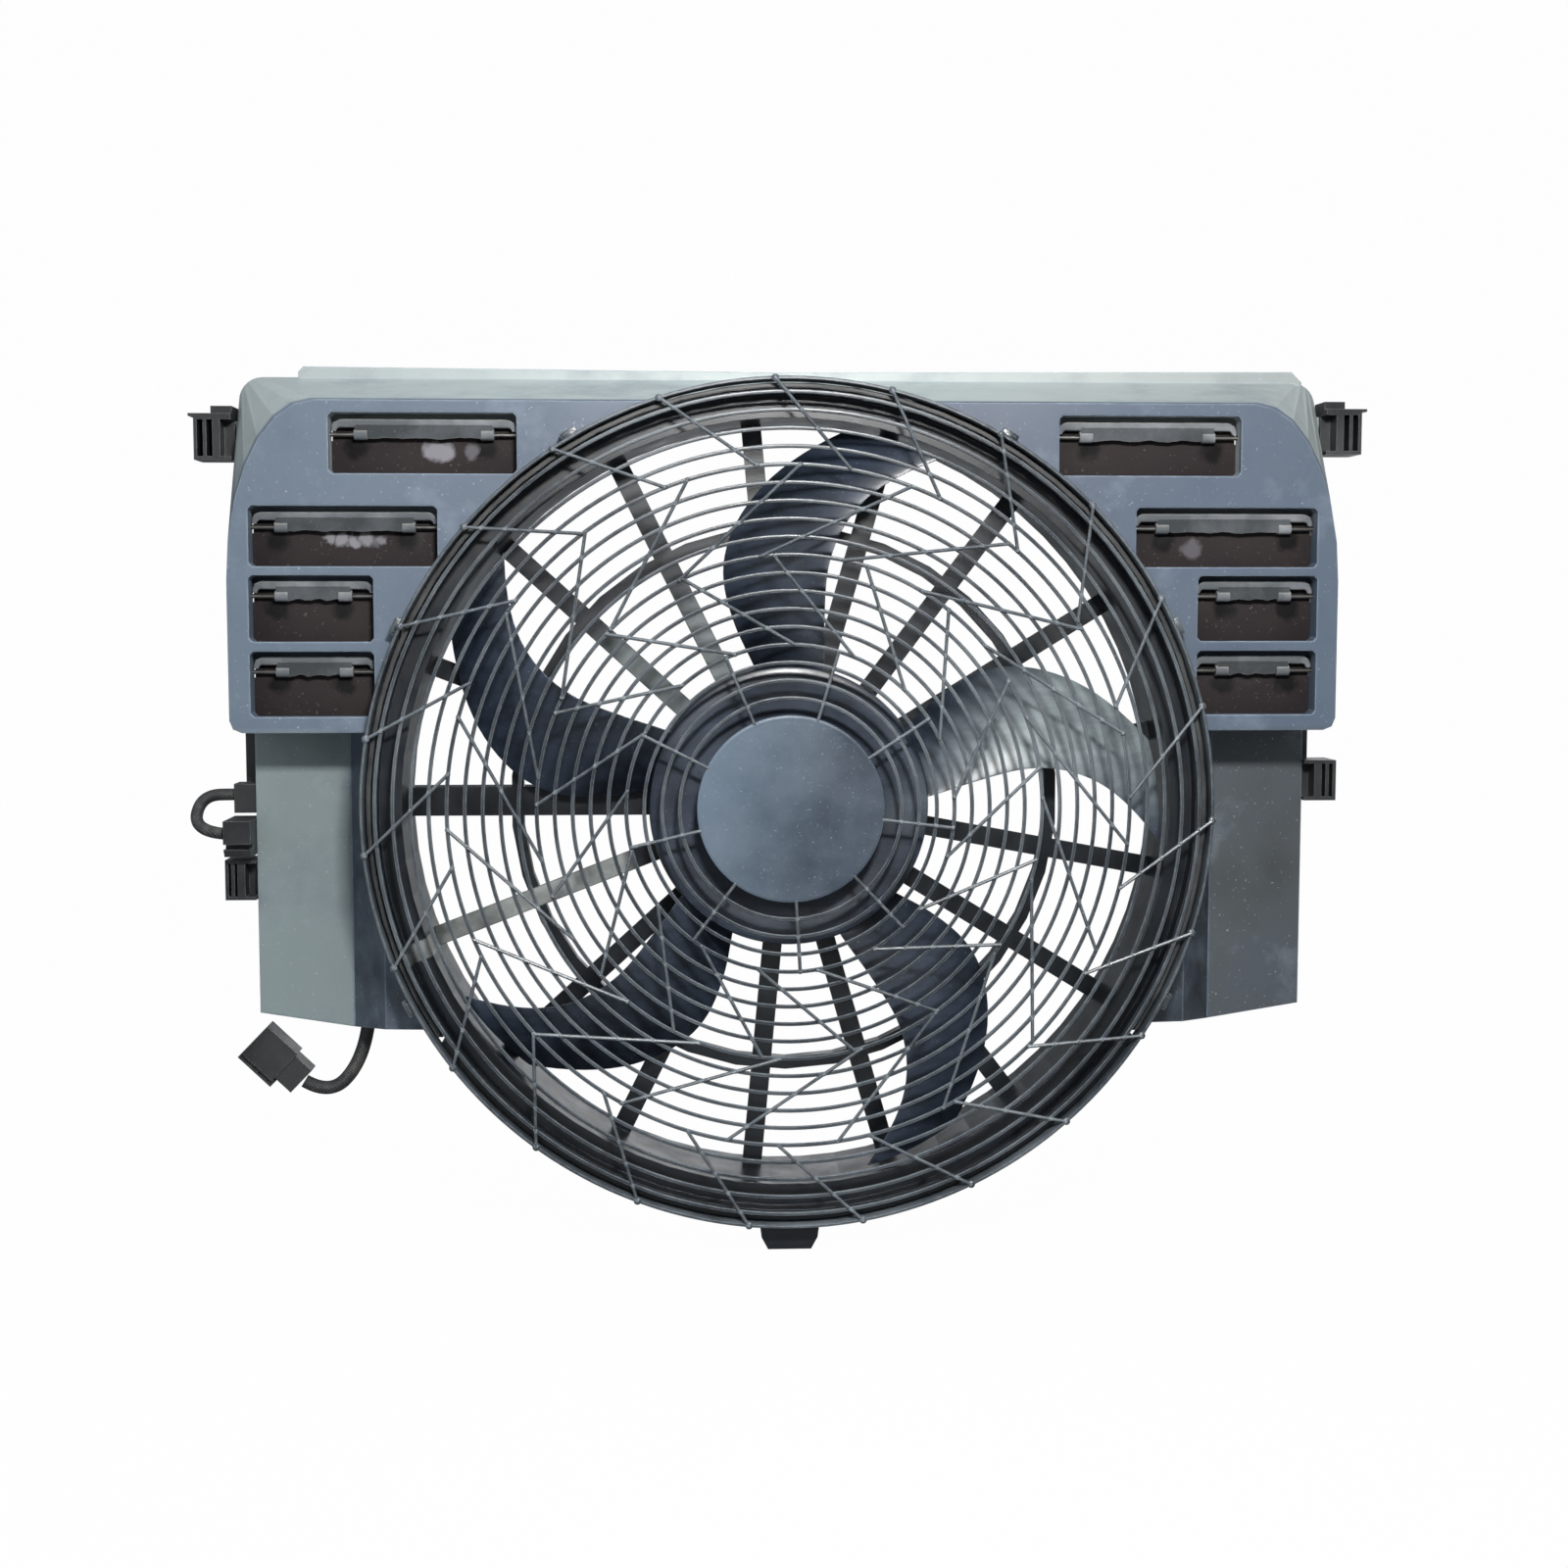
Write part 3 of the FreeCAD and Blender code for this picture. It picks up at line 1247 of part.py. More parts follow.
def pigtail_connector():
    """A plug housing: stepped body, open mouth and a latch frame beside it."""
    rear_body = Part.makeBox(14.1, 14.0, 18.0, V(1.1, -7.0, -9.0))
    hood = Part.makeBox(24.0, 17.0, 22.0, V(14.0, -8.5, -11.0))
    mouth = Part.makeBox(20.0, 13.0, 18.0, V(19.0, -6.5, -9.0))
    frame = Part.makeBox(26.0, 9.0, 5.0, V(12.0, -4.5, 10.5))
    gaps = [Part.makeBox(9.0, 11.0, 3.0, V(x, -5.5, 11.0)) for x in (15.0, 26.0)]
    whole = rear_body.fuse([hood, frame]).cut([mouth] + gaps)
    return coded("pigtail_connector", in_connector_frame(whole))


def connector_terminals():
    """Two flat blades in the mouth of the plug."""
    blades = [Part.makeBox(13.0, 0.8, 6.3, V(19.2, -0.4, z)) for z in (-7.8, 1.5)]
    return coded("connector_terminals", in_connector_frame(Part.makeCompound(blades)))


def main():
    made = [shroud(), carrier(), guard(), fan_wheel()]
    made += motor()
    made += [flap(side, window) for side in SIDES for window in WINDOWS]
    made.append(hinge_pins())
    made += [mounting_clip(*place) for place in clip_places()]
    made.append(cable("motor_cable", MOTOR_ROUTE, size("cable_d")))
    made.append(branch_sleeve())
    made.append(cable("side_cable", SIDE_ROUTE, size("cable_d")))
    made.append(cable_saddle())
    made.append(side_plug())
    made.append(cable("pigtail_cable", PIGTAIL_ROUTE, size("pigtail_d")))
    made.append(pigtail_connector())
    made.append(connector_terminals())
    doc.recompute()
    check(made)
    export(made)


def check(made):
    """Stop on any object that failed, is empty or is not valid."""
    for item in doc.Objects:
        states = [s for s in item.State if s in ("Invalid", "Error")]
        if states:
            raise RuntimeError("%s is %s" % (item.Label, states))
    for item in made:
        if item.Shape.isNull() or not item.Shape.isValid():
            raise RuntimeError("%s has no valid shape" % item.Label)


def export(made):
    os.makedirs(PARTS_FOLDER, exist_ok=True)
    for item in made:
        item.Shape.exportStep(os.path.join(PARTS_FOLDER, item.Label + ".step"))
        print("%-18s solids %d, volume %.0f" % (item.Label, len(item.Shape.Solids), item.Shape.Volume))


main()
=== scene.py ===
# %% [markdown]
# Radiator cooling fan.
# The frame gives the exact parts. This script adds the finishes, the smooth forms of the guard and of the
# fan wheel, the flaps, the cables, the studio and the camera. Everything is in metres, with the guard
# facing -Y and Z up, and a size that ends up in a mesh is written in millimetres and multiplied by MM.

# %% Frame
import bpy
import math
import random
from mathutils import Matrix, Vector


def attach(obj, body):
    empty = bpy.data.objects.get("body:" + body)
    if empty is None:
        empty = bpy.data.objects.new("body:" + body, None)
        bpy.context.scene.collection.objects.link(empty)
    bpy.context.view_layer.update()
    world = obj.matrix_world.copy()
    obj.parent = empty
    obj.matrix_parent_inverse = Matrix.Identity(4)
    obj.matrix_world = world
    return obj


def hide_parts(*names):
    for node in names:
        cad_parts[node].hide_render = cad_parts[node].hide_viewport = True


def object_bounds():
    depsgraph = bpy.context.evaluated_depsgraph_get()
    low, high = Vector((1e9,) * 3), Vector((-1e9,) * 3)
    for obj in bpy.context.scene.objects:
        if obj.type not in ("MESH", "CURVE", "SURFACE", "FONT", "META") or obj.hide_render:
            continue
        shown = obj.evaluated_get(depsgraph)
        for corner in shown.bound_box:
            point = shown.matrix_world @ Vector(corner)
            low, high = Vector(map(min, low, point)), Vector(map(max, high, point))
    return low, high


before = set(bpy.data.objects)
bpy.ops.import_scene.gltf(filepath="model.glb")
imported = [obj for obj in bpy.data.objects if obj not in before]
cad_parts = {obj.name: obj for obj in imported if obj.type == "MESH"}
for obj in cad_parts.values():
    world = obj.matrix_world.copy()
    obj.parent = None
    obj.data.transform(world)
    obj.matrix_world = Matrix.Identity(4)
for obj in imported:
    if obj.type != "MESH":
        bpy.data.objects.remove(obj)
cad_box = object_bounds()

MM = 0.001
rng = random.Random(11)
print("nodes", len(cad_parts))

# %% [markdown]
# The camera comes first.
# The photograph's circles stay round and shift with their depth, so the lens, the place and the tilt of the
# camera follow from the centres of the guard's rings, of the throat and of the spider behind them.

# %% Camera
CAMERA_PLACE = (-65.9 * MM, -1260.9 * MM, 112.6 * MM)
CAMERA_LENS = 48.5
SENSOR_WIDTH = 36.0
CAMERA_TURN = 3.0
CAMERA_DOWN = 4.75

camera_data = bpy.data.cameras.new("camera")
camera_data.lens = CAMERA_LENS
camera_data.sensor_width = SENSOR_WIDTH
camera = bpy.data.objects.new("camera", camera_data)
camera.location = CAMERA_PLACE
camera.rotation_euler = (math.radians(90.0 - CAMERA_DOWN), 0.0, math.radians(-CAMERA_TURN))
bpy.context.scene.collection.objects.link(camera)
bpy.context.scene.camera = camera
print("camera at", CAMERA_PLACE)

# %% [markdown]
# Colours.
# A colour is easy to read as the hex value that it has on the screen, but a shader adds up light. So each
# one is written as hex and turned into light where it is used.

# %% Colours


def linear(hex_colour):
    """A linear colour from a colour as it looks on the screen."""
    values = [int(hex_colour[i:i + 2], 16) / 255.0 for i in (1, 3, 5)]
    return [v / 12.92 if v <= 0.04045 else ((v + 0.055) / 1.055) ** 2.4 for v in values] + [1.0]


print("middle grey as light", round(linear("#808080")[0], 3))

# %% [markdown]
# A finish as a chain of nodes.
# Dust and wear could be painted as pictures, but a picture has one resolution and needs seams. Noise that
# is read at the object's own coordinates has neither. A mask from a coordinate, or from the way a surface
# faces, then puts dust, wear or another tone just where the real part has it. This class gives the nodes
# that recur short calls.

# %% Node helper


class Nodes:
    """A material's node tree."""

    def __init__(self, name):
        self.material = bpy.data.materials.new(name)
        self.material.use_nodes = True
        self.tree = self.material.node_tree
        self.tree.nodes.clear()
        self.place = self.add("ShaderNodeTexCoord").outputs["Object"]

    def add(self, kind, **settings):
        node = self.tree.nodes.new(kind)
        for key, value in settings.items():
            setattr(node, key, value)
        return node

    def put(self, value, socket):
        """Link an output, or set a constant, on an input socket."""
        if isinstance(value, bpy.types.NodeSocket):
            self.tree.links.new(value, socket)
        else:
            socket.default_value = value

    def noise(self, scale, detail=4.0, rough=0.6, stretch=None):
        place = self.place
        if stretch:
            mapping = self.add("ShaderNodeMapping")
            self.put(place, mapping.inputs["Vector"])
            mapping.inputs["Scale"].default_value = stretch
            place = mapping.outputs["Vector"]
        node = self.add("ShaderNodeTexNoise")
        self.put(place, node.inputs["Vector"])
        node.inputs["Scale"].default_value = scale
        node.inputs["Detail"].default_value = detail
        node.inputs["Roughness"].default_value = rough
        return node.outputs["Fac"]

    def ramp(self, value, stops):
        """A colour from a value, by stops of position and hex colour."""
        node = self.add("ShaderNodeValToRGB")
        self.put(value, node.inputs["Fac"])
        elements = node.color_ramp.elements
        while len(elements) < len(stops):
            elements.new(0.5)
        for element, (position, hex_colour) in zip(elements, stops):
            element.position = position
            element.color = linear(hex_colour)
        return node.outputs["Color"]

    def span(self, value, low, high, to_low=0.0, to_high=1.0):
        """Remap a value between two limits, clamped."""
        node = self.add("ShaderNodeMapRange")
        limits = {"Value": value, "From Min": low, "From Max": high, "To Min": to_low, "To Max": to_high}
        for socket, limit in limits.items():
            self.put(limit, node.inputs[socket])
        return node.outputs["Result"]

    def math(self, operation, a, b=0.0):
        node = self.add("ShaderNodeMath", operation=operation)
        self.put(a, node.inputs[0])
        self.put(b, node.inputs[1])
        return node.outputs["Value"]

    def plus(self, a, b):
        return self.math("ADD", a, b)

    def times(self, a, b):
        return self.math("MULTIPLY", a, b)

    def mix(self, share, a, b):
        node = self.add("ShaderNodeMix", data_type="RGBA")
        self.put(share, node.inputs["Factor"])
        self.put(a, node.inputs["A"])
        self.put(b, node.inputs["B"])
        return node.outputs["Result"]

    def tint(self, colour, share, hex_colour):
        """Let a share of another colour cover a colour."""
        return self.mix(share, colour, linear(hex_colour))

    def axis(self, name):
        node = self.add("ShaderNodeSeparateXYZ")
        self.put(self.place, node.inputs["Vector"])
        return node.outputs[name]

    def up(self):
        """How far a surface faces upwards, from 0 to 1."""
        geometry = self.add("ShaderNodeNewGeometry")
        node = self.add("ShaderNodeSeparateXYZ")
        self.put(geometry.outputs["Normal"], node.inputs["Vector"])
        return self.span(node.outputs["Z"], 0.2, 1.0)

    def edges(self, radius):
        """Convex edges, where wear shows, from the difference between the rounded and the true normal."""
        bevel = self.add("ShaderNodeBevel", samples=4)
        bevel.inputs["Radius"].default_value = radius
        geometry = self.add("ShaderNodeNewGeometry")
        dot = self.add("ShaderNodeVectorMath", operation="DOT_PRODUCT")
        self.put(bevel.outputs["Normal"], dot.inputs[0])
        self.put(geometry.outputs["Normal"], dot.inputs[1])
        return self.span(dot.outputs["Value"], 0.995, 0.9)

    def spots(self, scale, low, high, share, detail=4.0, rough=0.6, stretch=None):
        """Patches of noise: none below the low limit and the full share above the high one."""
        return self.times(self.span(self.noise(scale, detail, rough, stretch), low, high), share)

    def clouds(self):
        """Wide soft clouds of dust."""
        return self.span(self.noise(9.0, 5.0), 0.42, 0.72)

    def settled(self):
        """Dust on what faces up."""
        return self.times(self.up(), self.span(self.noise(60.0), 0.3, 0.7))

    def worn(self, low, high, radius=0.0007, scale=240.0):
        """Wear along the edges, between a low and a high share."""
        return self.times(self.edges(radius), self.span(self.noise(scale), 0.35, 0.65, low, high))

    def finish(self, colour, roughness, bump, bump_distance, bevel=0.0, metallic=0.0, specular=0.5):
        """Close the tree with one shader, whose normal is rounded at the edges and then bumped."""
        shader = self.add("ShaderNodeBsdfPrincipled")
        self.put(colour, shader.inputs["Base Color"])
        self.put(roughness, shader.inputs["Roughness"])
        self.put(metallic, shader.inputs["Metallic"])
        self.put(specular, shader.inputs["Specular IOR Level"])
        relief = self.add("ShaderNodeBump")
        relief.inputs["Strength"].default_value = 0.6
        relief.inputs["Distance"].default_value = bump_distance
        self.put(bump, relief.inputs["Height"])
        if bevel:
            rounded = self.add("ShaderNodeBevel", samples=4)
            rounded.inputs["Radius"].default_value = bevel
            self.put(rounded.outputs["Normal"], relief.inputs["Normal"])
        self.put(relief.outputs["Normal"], shader.inputs["Normal"])
        output = self.add("ShaderNodeOutputMaterial")
        self.put(shader.outputs["BSDF"], output.inputs["Surface"])
        return self.material


print("node helper with", len([name for name in vars(Nodes) if not name.startswith("_")]), "calls")

# %% [markdown]
# Plain black plastics.
# Clips, plugs, the guard and the motor's housing are moulded or painted black. One flat black would look
# like a hole in the picture, so dust lies on it in clouds and specks, the edges are worn paler, and the
# gloss follows the dust. Only the tones, the shares and the gloss differ from piece to piece.

# %% Black plastics


def plastic(name, base, dust, dust_share, roughness, wear=0.3, bevel=0.0006):
    """Moulded plastic with dust, specks and worn edges."""
    n = Nodes(name)
    specks = n.spots(700.0, 0.66, 0.74, 0.8, 2.0)
    amount = n.times(n.plus(n.clouds(), n.plus(n.settled(), specks)), dust_share)
    colour = n.mix(amount, linear(base), linear(dust))
    colour = n.tint(colour, n.worn(0.2, wear), dust)
    gloss = n.span(n.noise(35.0), 0.3, 0.7, roughness - 0.08, roughness + 0.1)
    return n.finish(colour, n.plus(gloss, n.times(amount, 0.3)), n.noise(900.0, 3.0), 0.00008, bevel)


guard_black = plastic("guard_black", "#23282e", "#959ea4", 0.24, 0.33, 0.7, 0.0002)
clip_black = plastic("clip_black", "#101113", "#6f7274", 0.15, 0.4, 0.8, 0.0004)
plug_black = plastic("plug_black", "#131416", "#77797b", 0.18, 0.42, 0.8, 0.0004)
holder_brown = plastic("holder_brown", "#5a3a22", "#8a7a66", 0.2, 0.6)
motor_black = plastic("motor_black", "#1a1b1d", "#5c5a57", 0.25, 0.4, 0.5)
magnet_grey = plastic("magnet_grey", "#26272a", "#4a4a4a", 0.2, 0.7)
carbon_black = plastic("carbon_black", "#101010", "#333333", 0.2, 0.7)
print("plastics", len(bpy.data.materials))

# %% [markdown]
# Metals.
# Shafts are ground, sheet is rolled and wire is drawn, and all three leave fine lines along one way. Noise
# that is stretched along an axis makes such lines, and it drives the gloss and a very small bump, with some
# tarnish over it.

# %% Metals
ACROSS_Y = (1.0, 30.0, 1.0)
ACROSS_X = (30.0, 1.0, 1.0)


def metal(name, base, roughness, stretch=ACROSS_Y):
    """Ground or drawn metal with fine lines along one way and some tarnish."""
    n = Nodes(name)
    colour = n.tint(linear(base), n.spots(45.0, 0.35, 0.75, 0.45), "#4a443c")
    lines = n.noise(260.0, 3.0, 0.7, stretch)
    gloss = n.span(lines, 0.3, 0.7, roughness - 0.08, roughness + 0.15)
    return n.finish(colour, gloss, lines, 0.00004, 0.0003, metallic=1.0)


steel = metal("ground_steel", "#a8a9ab", 0.25)
zinc = metal("zinc_plate", "#8f9088", 0.35)
wire_steel = metal("wire_steel", "#6b6a68", 0.4, ACROSS_X)
sheet_steel = metal("sheet_steel", "#5d5d60", 0.45)
copper = metal("copper", "#b36a3c", 0.35)
brass = metal("brass", "#b5924d", 0.3)
print("finishes so far", len(bpy.data.materials))

# %% [markdown]
# The shroud's finish.
# The shroud is one blue-grey moulding. Masks from the coordinates give each area its tone: the front is blue,
# a little lighter towards its ends and most at the left; the sloping top is painted pale and greenish, as
# painted sky light; the wings are greyer, the left one much paler than the right; and their steep slopes get
# painted shade. Over all of it lie clouds, blue stains, pale spots, streaks that run down, and worn edges.

# %% Shroud finish
HALF_WIDTH = 0.32
THROAT_RADIUS = 0.2392
THROAT_SOFT = 0.0004


def shroud_tones(n, x, z, mottle):
    """The tone of each area of the moulding, with painted sky light on the sloping top and painted shade on
    the steep slopes.
    """
    along = n.span(x, -HALF_WIDTH, HALF_WIDTH)
    face = n.ramp(along, [(0.0, "#4e5a67"), (0.35, "#3d495a"), (0.65, "#394456"), (1.0, "#3f4b5a")])
    # Painted sky light: the sloping top is made pale and greenish.
    above = n.times(n.span(n.axis("Y"), -0.0645, -0.060), n.span(z, 0.15, 0.2))
    colour = n.mix(above, face, n.ramp(along, [(0.0, "#8a9191"), (0.5, "#9aa2a0"), (1.0, "#8a8f8d")]))
    aside = n.math("ABSOLUTE", x)
    wing = n.times(n.span(z, 0.046, 0.040), n.span(aside, 0.2535, 0.2555))
    colour = n.mix(wing, colour, n.ramp(n.span(x, -0.3, 0.3), [(0.0, "#6f7a7b"), (1.0, "#35393c")]))
    # Painted shade: the wings' steep slopes are made dark, the right one darker.
    steep = n.times(n.span(z, 0.041, 0.025), n.span(aside, 0.2545, 0.2535))
    left = n.mix(mottle, linear("#242932"), linear("#404a56"))
    right = n.mix(mottle, linear("#14181e"), linear("#262d36"))
    return n.mix(steep, colour, n.mix(n.span(x, -0.1, 0.1), left, right))


def shroud_dirt(n, colour):
    """Clouds, stains, spots, streaks, specks and worn edges."""
    colour = n.tint(colour, n.spots(7.0, 0.35, 0.75, 0.13, 6.0), "#8792a0")
    colour = n.tint(colour, n.spots(14.0, 0.5, 0.72, 0.34, 6.0, 0.65), "#28344a")
    colour = n.tint(colour, n.spots(26.0, 0.56, 0.72, 0.16, 5.0), "#9aa7b4")
    colour = n.tint(colour, n.spots(30.0, 0.5, 0.75, 0.10, 4.0, 0.6, (1.0, 1.0, 0.15)), "#323c4a")
    colour = n.tint(colour, n.spots(520.0, 0.69, 0.74, 0.4, 2.0), "#a9b4bd")
    worn = n.times(n.edges(0.0014), n.span(n.noise(90.0), 0.3, 0.7, 0.2, 0.7))
    return n.tint(colour, worn, "#98a5b2")


def shroud_finish():
    """The whole moulding, with a dark strip inside its round opening."""
    n = Nodes("shroud_grey")
    x, z = n.axis("X"), n.axis("Z")
    mottle = n.span(n.noise(55.0, 5.0), 0.35, 0.65)
    colour = shroud_dirt(n, shroud_tones(n, x, z, mottle))
    radius = n.math("SQRT", n.plus(n.times(x, x), n.times(z, z)))
    inside = n.span(radius, THROAT_RADIUS + THROAT_SOFT, THROAT_RADIUS - THROAT_SOFT)
    colour = n.mix(inside, colour, n.mix(mottle, linear("#1b1c1e"), linear("#3a3b3c")))
    gloss = n.span(n.noise(28.0), 0.3, 0.7, 0.40, 0.58)
    return n.finish(colour, gloss, n.noise(650.0, 3.0), 0.00010, 0.0016)


grey = shroud_finish()
print("finish", grey.name)

# %% [markdown]
# The carrier's finish.
# The carrier is the black moulding with the seventeen struts behind the fan. Three of its struts carry pale
# dust and a painted reflection on their front side. A mask in the strut's own direction, by the distance
# along it and beside it, finds each of them, so that the moulding can stay one piece with one material.

# %% Carrier finish
STRUT_EDGE = (0.0058, 0.0050)
STRUT_FRONT = (-0.0192, -0.0198)
PALE_FADE_IN, PALE_FADE_OUT = 8.0, 25.0
# Pale struts: angle, where the dust and the painted reflection start and end along them in mm, their strength
# and their tone
PALE_STRUTS = (
    (201.18, 95.0, 240.0, 0.9, "#a9adab"),
    (137.65, 66.0, 150.0, 0.8, "#7b8383"),
    (116.47, 66.0, 150.0, 0.8, "#72797b"),
)


def strut_mask(n, x, z, angle, near, far):
    """Where a strut lies between two distances from the axis, with soft ends."""
    c, s = math.cos(math.radians(angle)), math.sin(math.radians(angle))
    along = n.plus(n.times(x, c), n.times(z, s))
    beside = n.math("ABSOLUTE", n.math("SUBTRACT", n.times(z, c), n.times(x, s)))
    inside = n.times(n.span(beside, *STRUT_EDGE), n.span(along, near * MM, (near + PALE_FADE_IN) * MM))
    return n.times(inside, n.span(along, far * MM, (far - PALE_FADE_OUT) * MM))


def carrier_finish():
    """Bluish black, with pale dust and a painted reflection on three struts."""
    n = Nodes("carrier_black")
    amount = n.times(n.plus(n.clouds(), n.settled()), 0.09)
    colour = n.mix(amount, linear("#0b1016"), linear("#465060"))
    x, z = n.axis("X"), n.axis("Z")
    front = n.span(n.axis("Y"), *STRUT_FRONT)
    streaks = n.span(n.noise(35.0, 5.0), 0.35, 0.6, 0.25, 1.0)
    # Pale dust and a painted reflection on the front of three struts.
    for angle, near, far, strength, tone in PALE_STRUTS:
        strut = n.times(strut_mask(n, x, z, angle, near, far), front)
        colour = n.tint(colour, n.times(strut, n.times(streaks, strength)), tone)
    colour = n.tint(colour, n.worn(0.1, 0.5), "#59616b")
    gloss = n.span(n.noise(35.0), 0.3, 0.7, 0.28, 0.46)
    return n.finish(colour, gloss, n.noise(900.0, 3.0), 0.00008, 0.0006)


carrier_black = carrier_finish()
print("pale struts", len(PALE_STRUTS))

# %% [markdown]
# The cables' finish.
# The cables wear a woven sleeve. A fine diagonal wave, slightly disturbed, gives its threads both in tone
# and in relief, and dust lies in patches over it.

# %% Cable finish


def cable_finish():
    """A woven sleeve of fine diagonal waves."""
    n = Nodes("cable_sleeve")
    weave = n.add("ShaderNodeTexWave", wave_type="BANDS", bands_direction="DIAGONAL")
    n.put(n.place, weave.inputs["Vector"])
    weave.inputs["Scale"].default_value = 320.0
    weave.inputs["Distortion"].default_value = 1.5
    colour = n.ramp(weave.outputs["Fac"], [(0.0, "#0c0d0f"), (1.0, "#2a2b2d")])
    colour = n.tint(colour, n.spots(90.0, 0.45, 0.7, 0.3), "#6d6a64")
    return n.finish(colour, 0.6, weave.outputs["Fac"], 0.0003)


sleeve = cable_finish()
print("finish", sleeve.name)

# %% [markdown]
# Dressing the exact parts.
# Where the frame's own shape is already that of the real piece, the piece keeps it and only gets its
# finish.

# %% Dressing
DRESS = (
    (grey, ("shroud",)),
    (carrier_black, ("fan_carrier",)),
    (motor_black, ("motor_housing", "motor_end_cap")),
    (steel, ("front_bearing", "rear_bearing", "motor_shaft")),
    (magnet_grey, ("magnets",)),
    (sheet_steel, ("armature_core",)),
    (copper, ("armature_winding", "commutator")),
    (holder_brown, ("brush_holder",)),
    (carbon_black, ("brushes",)),
    (brass, ("hub_insert", "connector_terminals")),
    (zinc, ("hub_nut", "motor_screws", "carrier_screws")),
    (wire_steel, ("hinge_pins",)),
    (clip_black, ("clip_upper_left", "clip_upper_right", "clip_lower_left", "clip_lower_right")),
    (clip_black, ("cable_saddle",)),
    (plug_black, ("side_plug", "pigtail_connector", "branch_sleeve")),
    (sleeve, ("motor_cable",)),
)


def give(obj, material):
    """One finish for a whole object."""
    obj.data.materials.clear()
    obj.data.materials.append(material)


for material, names in DRESS:
    for name in names:
        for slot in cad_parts[name].material_slots:
            slot.material = material
print("dressed", sum(len(names) for _, names in DRESS))

# %% [markdown]
# The two free cables.
# The side cable makes a loop from its saddle into the plug on the wing. The pigtail comes down behind the
# wing, leaves below it and turns up into its connector. Each is a smooth spline through the same points as
# its solid.

# %% Cables
SIDE_ROUTE = [
    (-256.3, -5.2, 3.0), (-288.0, -7.0, 3.8), (-320.0, -9.0, 3.8),
    (-341.5, -15.0, 4.0), (-343.5, -30.0, -15.5), (-325.9, -32.0, -17.0),
]
PIGTAIL_ROUTE = [
    (-247.5, -5.4, -7.3), (-244.5, -6.0, -66.0), (-245.5, -6.5, -122.0),
    (-252.5, -10.0, -157.0), (-270.5, -13.0, -175.5), (-285.0, -14.0, -166.5),
]
SIDE_DIAMETER = 7.0
PIGTAIL_DIAMETER = 8.0


def cable(name, route, diameter, node):
    """A spline along a route, as a cord that stands for a node; it is a little shorter than its points."""
    data = bpy.data.curves.new(name, "CURVE")
    data.dimensions = "3D"
    spline = data.splines.new("NURBS")
    spline.points.add(len(route) - 1)
    for point, place in zip(spline.points, route):
        point.co = (place[0] * MM, place[1] * MM, place[2] * MM, 1.0)
    spline.order_u = 3
    spline.use_endpoint_u = True
    spline.resolution_u = 16
    data.bevel_depth = diameter / 2.0 * MM
    data.bevel_resolution = 8
    data.use_fill_caps = True
    obj = bpy.data.objects.new(name, data)
    bpy.context.scene.collection.objects.link(obj)
    give(obj, sleeve)
    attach(obj, "frame")
    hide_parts(node)


cable("side_cable_line", SIDE_ROUTE, SIDE_DIAMETER, "side_cable")
cable("pigtail_line", PIGTAIL_ROUTE, PIGTAIL_DIAMETER, "pigtail_cable")

# %% [markdown]
# Mesh helpers.
# Pieces are built from lists of corners and faces, in the frame's own coordinates, so nothing has to be
# moved afterwards. Each helper adds one form to the two lists, and one call makes a piece of them: that is
# quicker than many small objects, and forms that belong to one moulding stay in one mesh.

# %% Making a piece


def make_piece(name, verts, faces, material, body, sharp=40.0):
    """A smooth mesh whose edges over an angle stay sharp."""
    mesh = bpy.data.meshes.new(name)
    mesh.from_pydata([tuple(v) for v in verts], [], faces)
    mesh.validate()
    mesh.update()
    obj = bpy.data.objects.new(name, mesh)
    bpy.context.scene.collection.objects.link(obj)
    mesh.shade_smooth()
    mesh.set_sharp_from_angle(angle=math.radians(sharp))
    give(obj, material)
    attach(obj, body)
    return obj


def soften(obj, width):
    """Round a piece's edges with real geometry."""
    modifier = obj.modifiers.new("soft", "BEVEL")
    modifier.width = width
    modifier.segments = 2
    modifier.limit_method = "ANGLE"
    modifier.angle_limit = math.radians(35.0)
    bpy.context.view_layer.objects.active = obj
    depsgraph = bpy.context.evaluated_depsgraph_get()
    mesh = bpy.data.meshes.new_from_object(obj.evaluated_get(depsgraph))
    obj.modifiers.clear()
    obj.data = mesh
    mesh.shade_smooth()
    mesh.set_sharp_from_angle(angle=math.radians(40.0))


# %% [markdown]
# Rows and prisms.
# Most of the forms here are rows of corners that are joined like the hoops of a barrel, or an outline that
# is pushed straight through. With these two in hand, a rod, a bump or a plate is only a list of corners.

# %% Rows and prisms


def skin_rows(first, rows, count, faces):
    """Join rows of corners, each a closed loop, with four-sided faces."""
    for row in range(rows - 1):
        here = first + row * count
        for i in range(count):
            k = (i + 1) % count
            faces.append((here + i, here + k, here + count + k, here + count + i))


def cap_rows(first, rows, count, faces):
    """Close the first and the last row."""
    faces.append(tuple(first + i for i in reversed(range(count))))
    faces.append(tuple(first + (rows - 1) * count + i for i in range(count)))


def prism(one_end, other_end, verts, faces):
    """Add a solid between two outlines with as many corners each."""
    first = len(verts)
    count = len(one_end)
    verts.extend(one_end)
    verts.extend(other_end)
    faces.append(tuple(first + i for i in range(count)))
    faces.append(tuple(first + count + i for i in reversed(range(count))))
    for i in range(count):
        k = (i + 1) % count
        faces.append((first + i, first + count + i, first + count + k, first + k))


def slab(outline, front, rear, verts, faces):
    """Add a plate between two depths from a closed outline of X and Z, anticlockwise from the front."""
    ends = [[Vector((x, depth, z)) * MM for x, z in outline] for depth in (front, rear)]
    prism(ends[0], ends[1], verts, faces)


sample = []
slab([(0.0, 0.0), (1.0, 0.0), (1.0, 1.0), (0.0, 1.0)], 0.0, 1.0, [], sample)
print("faces of a plate", len(sample))
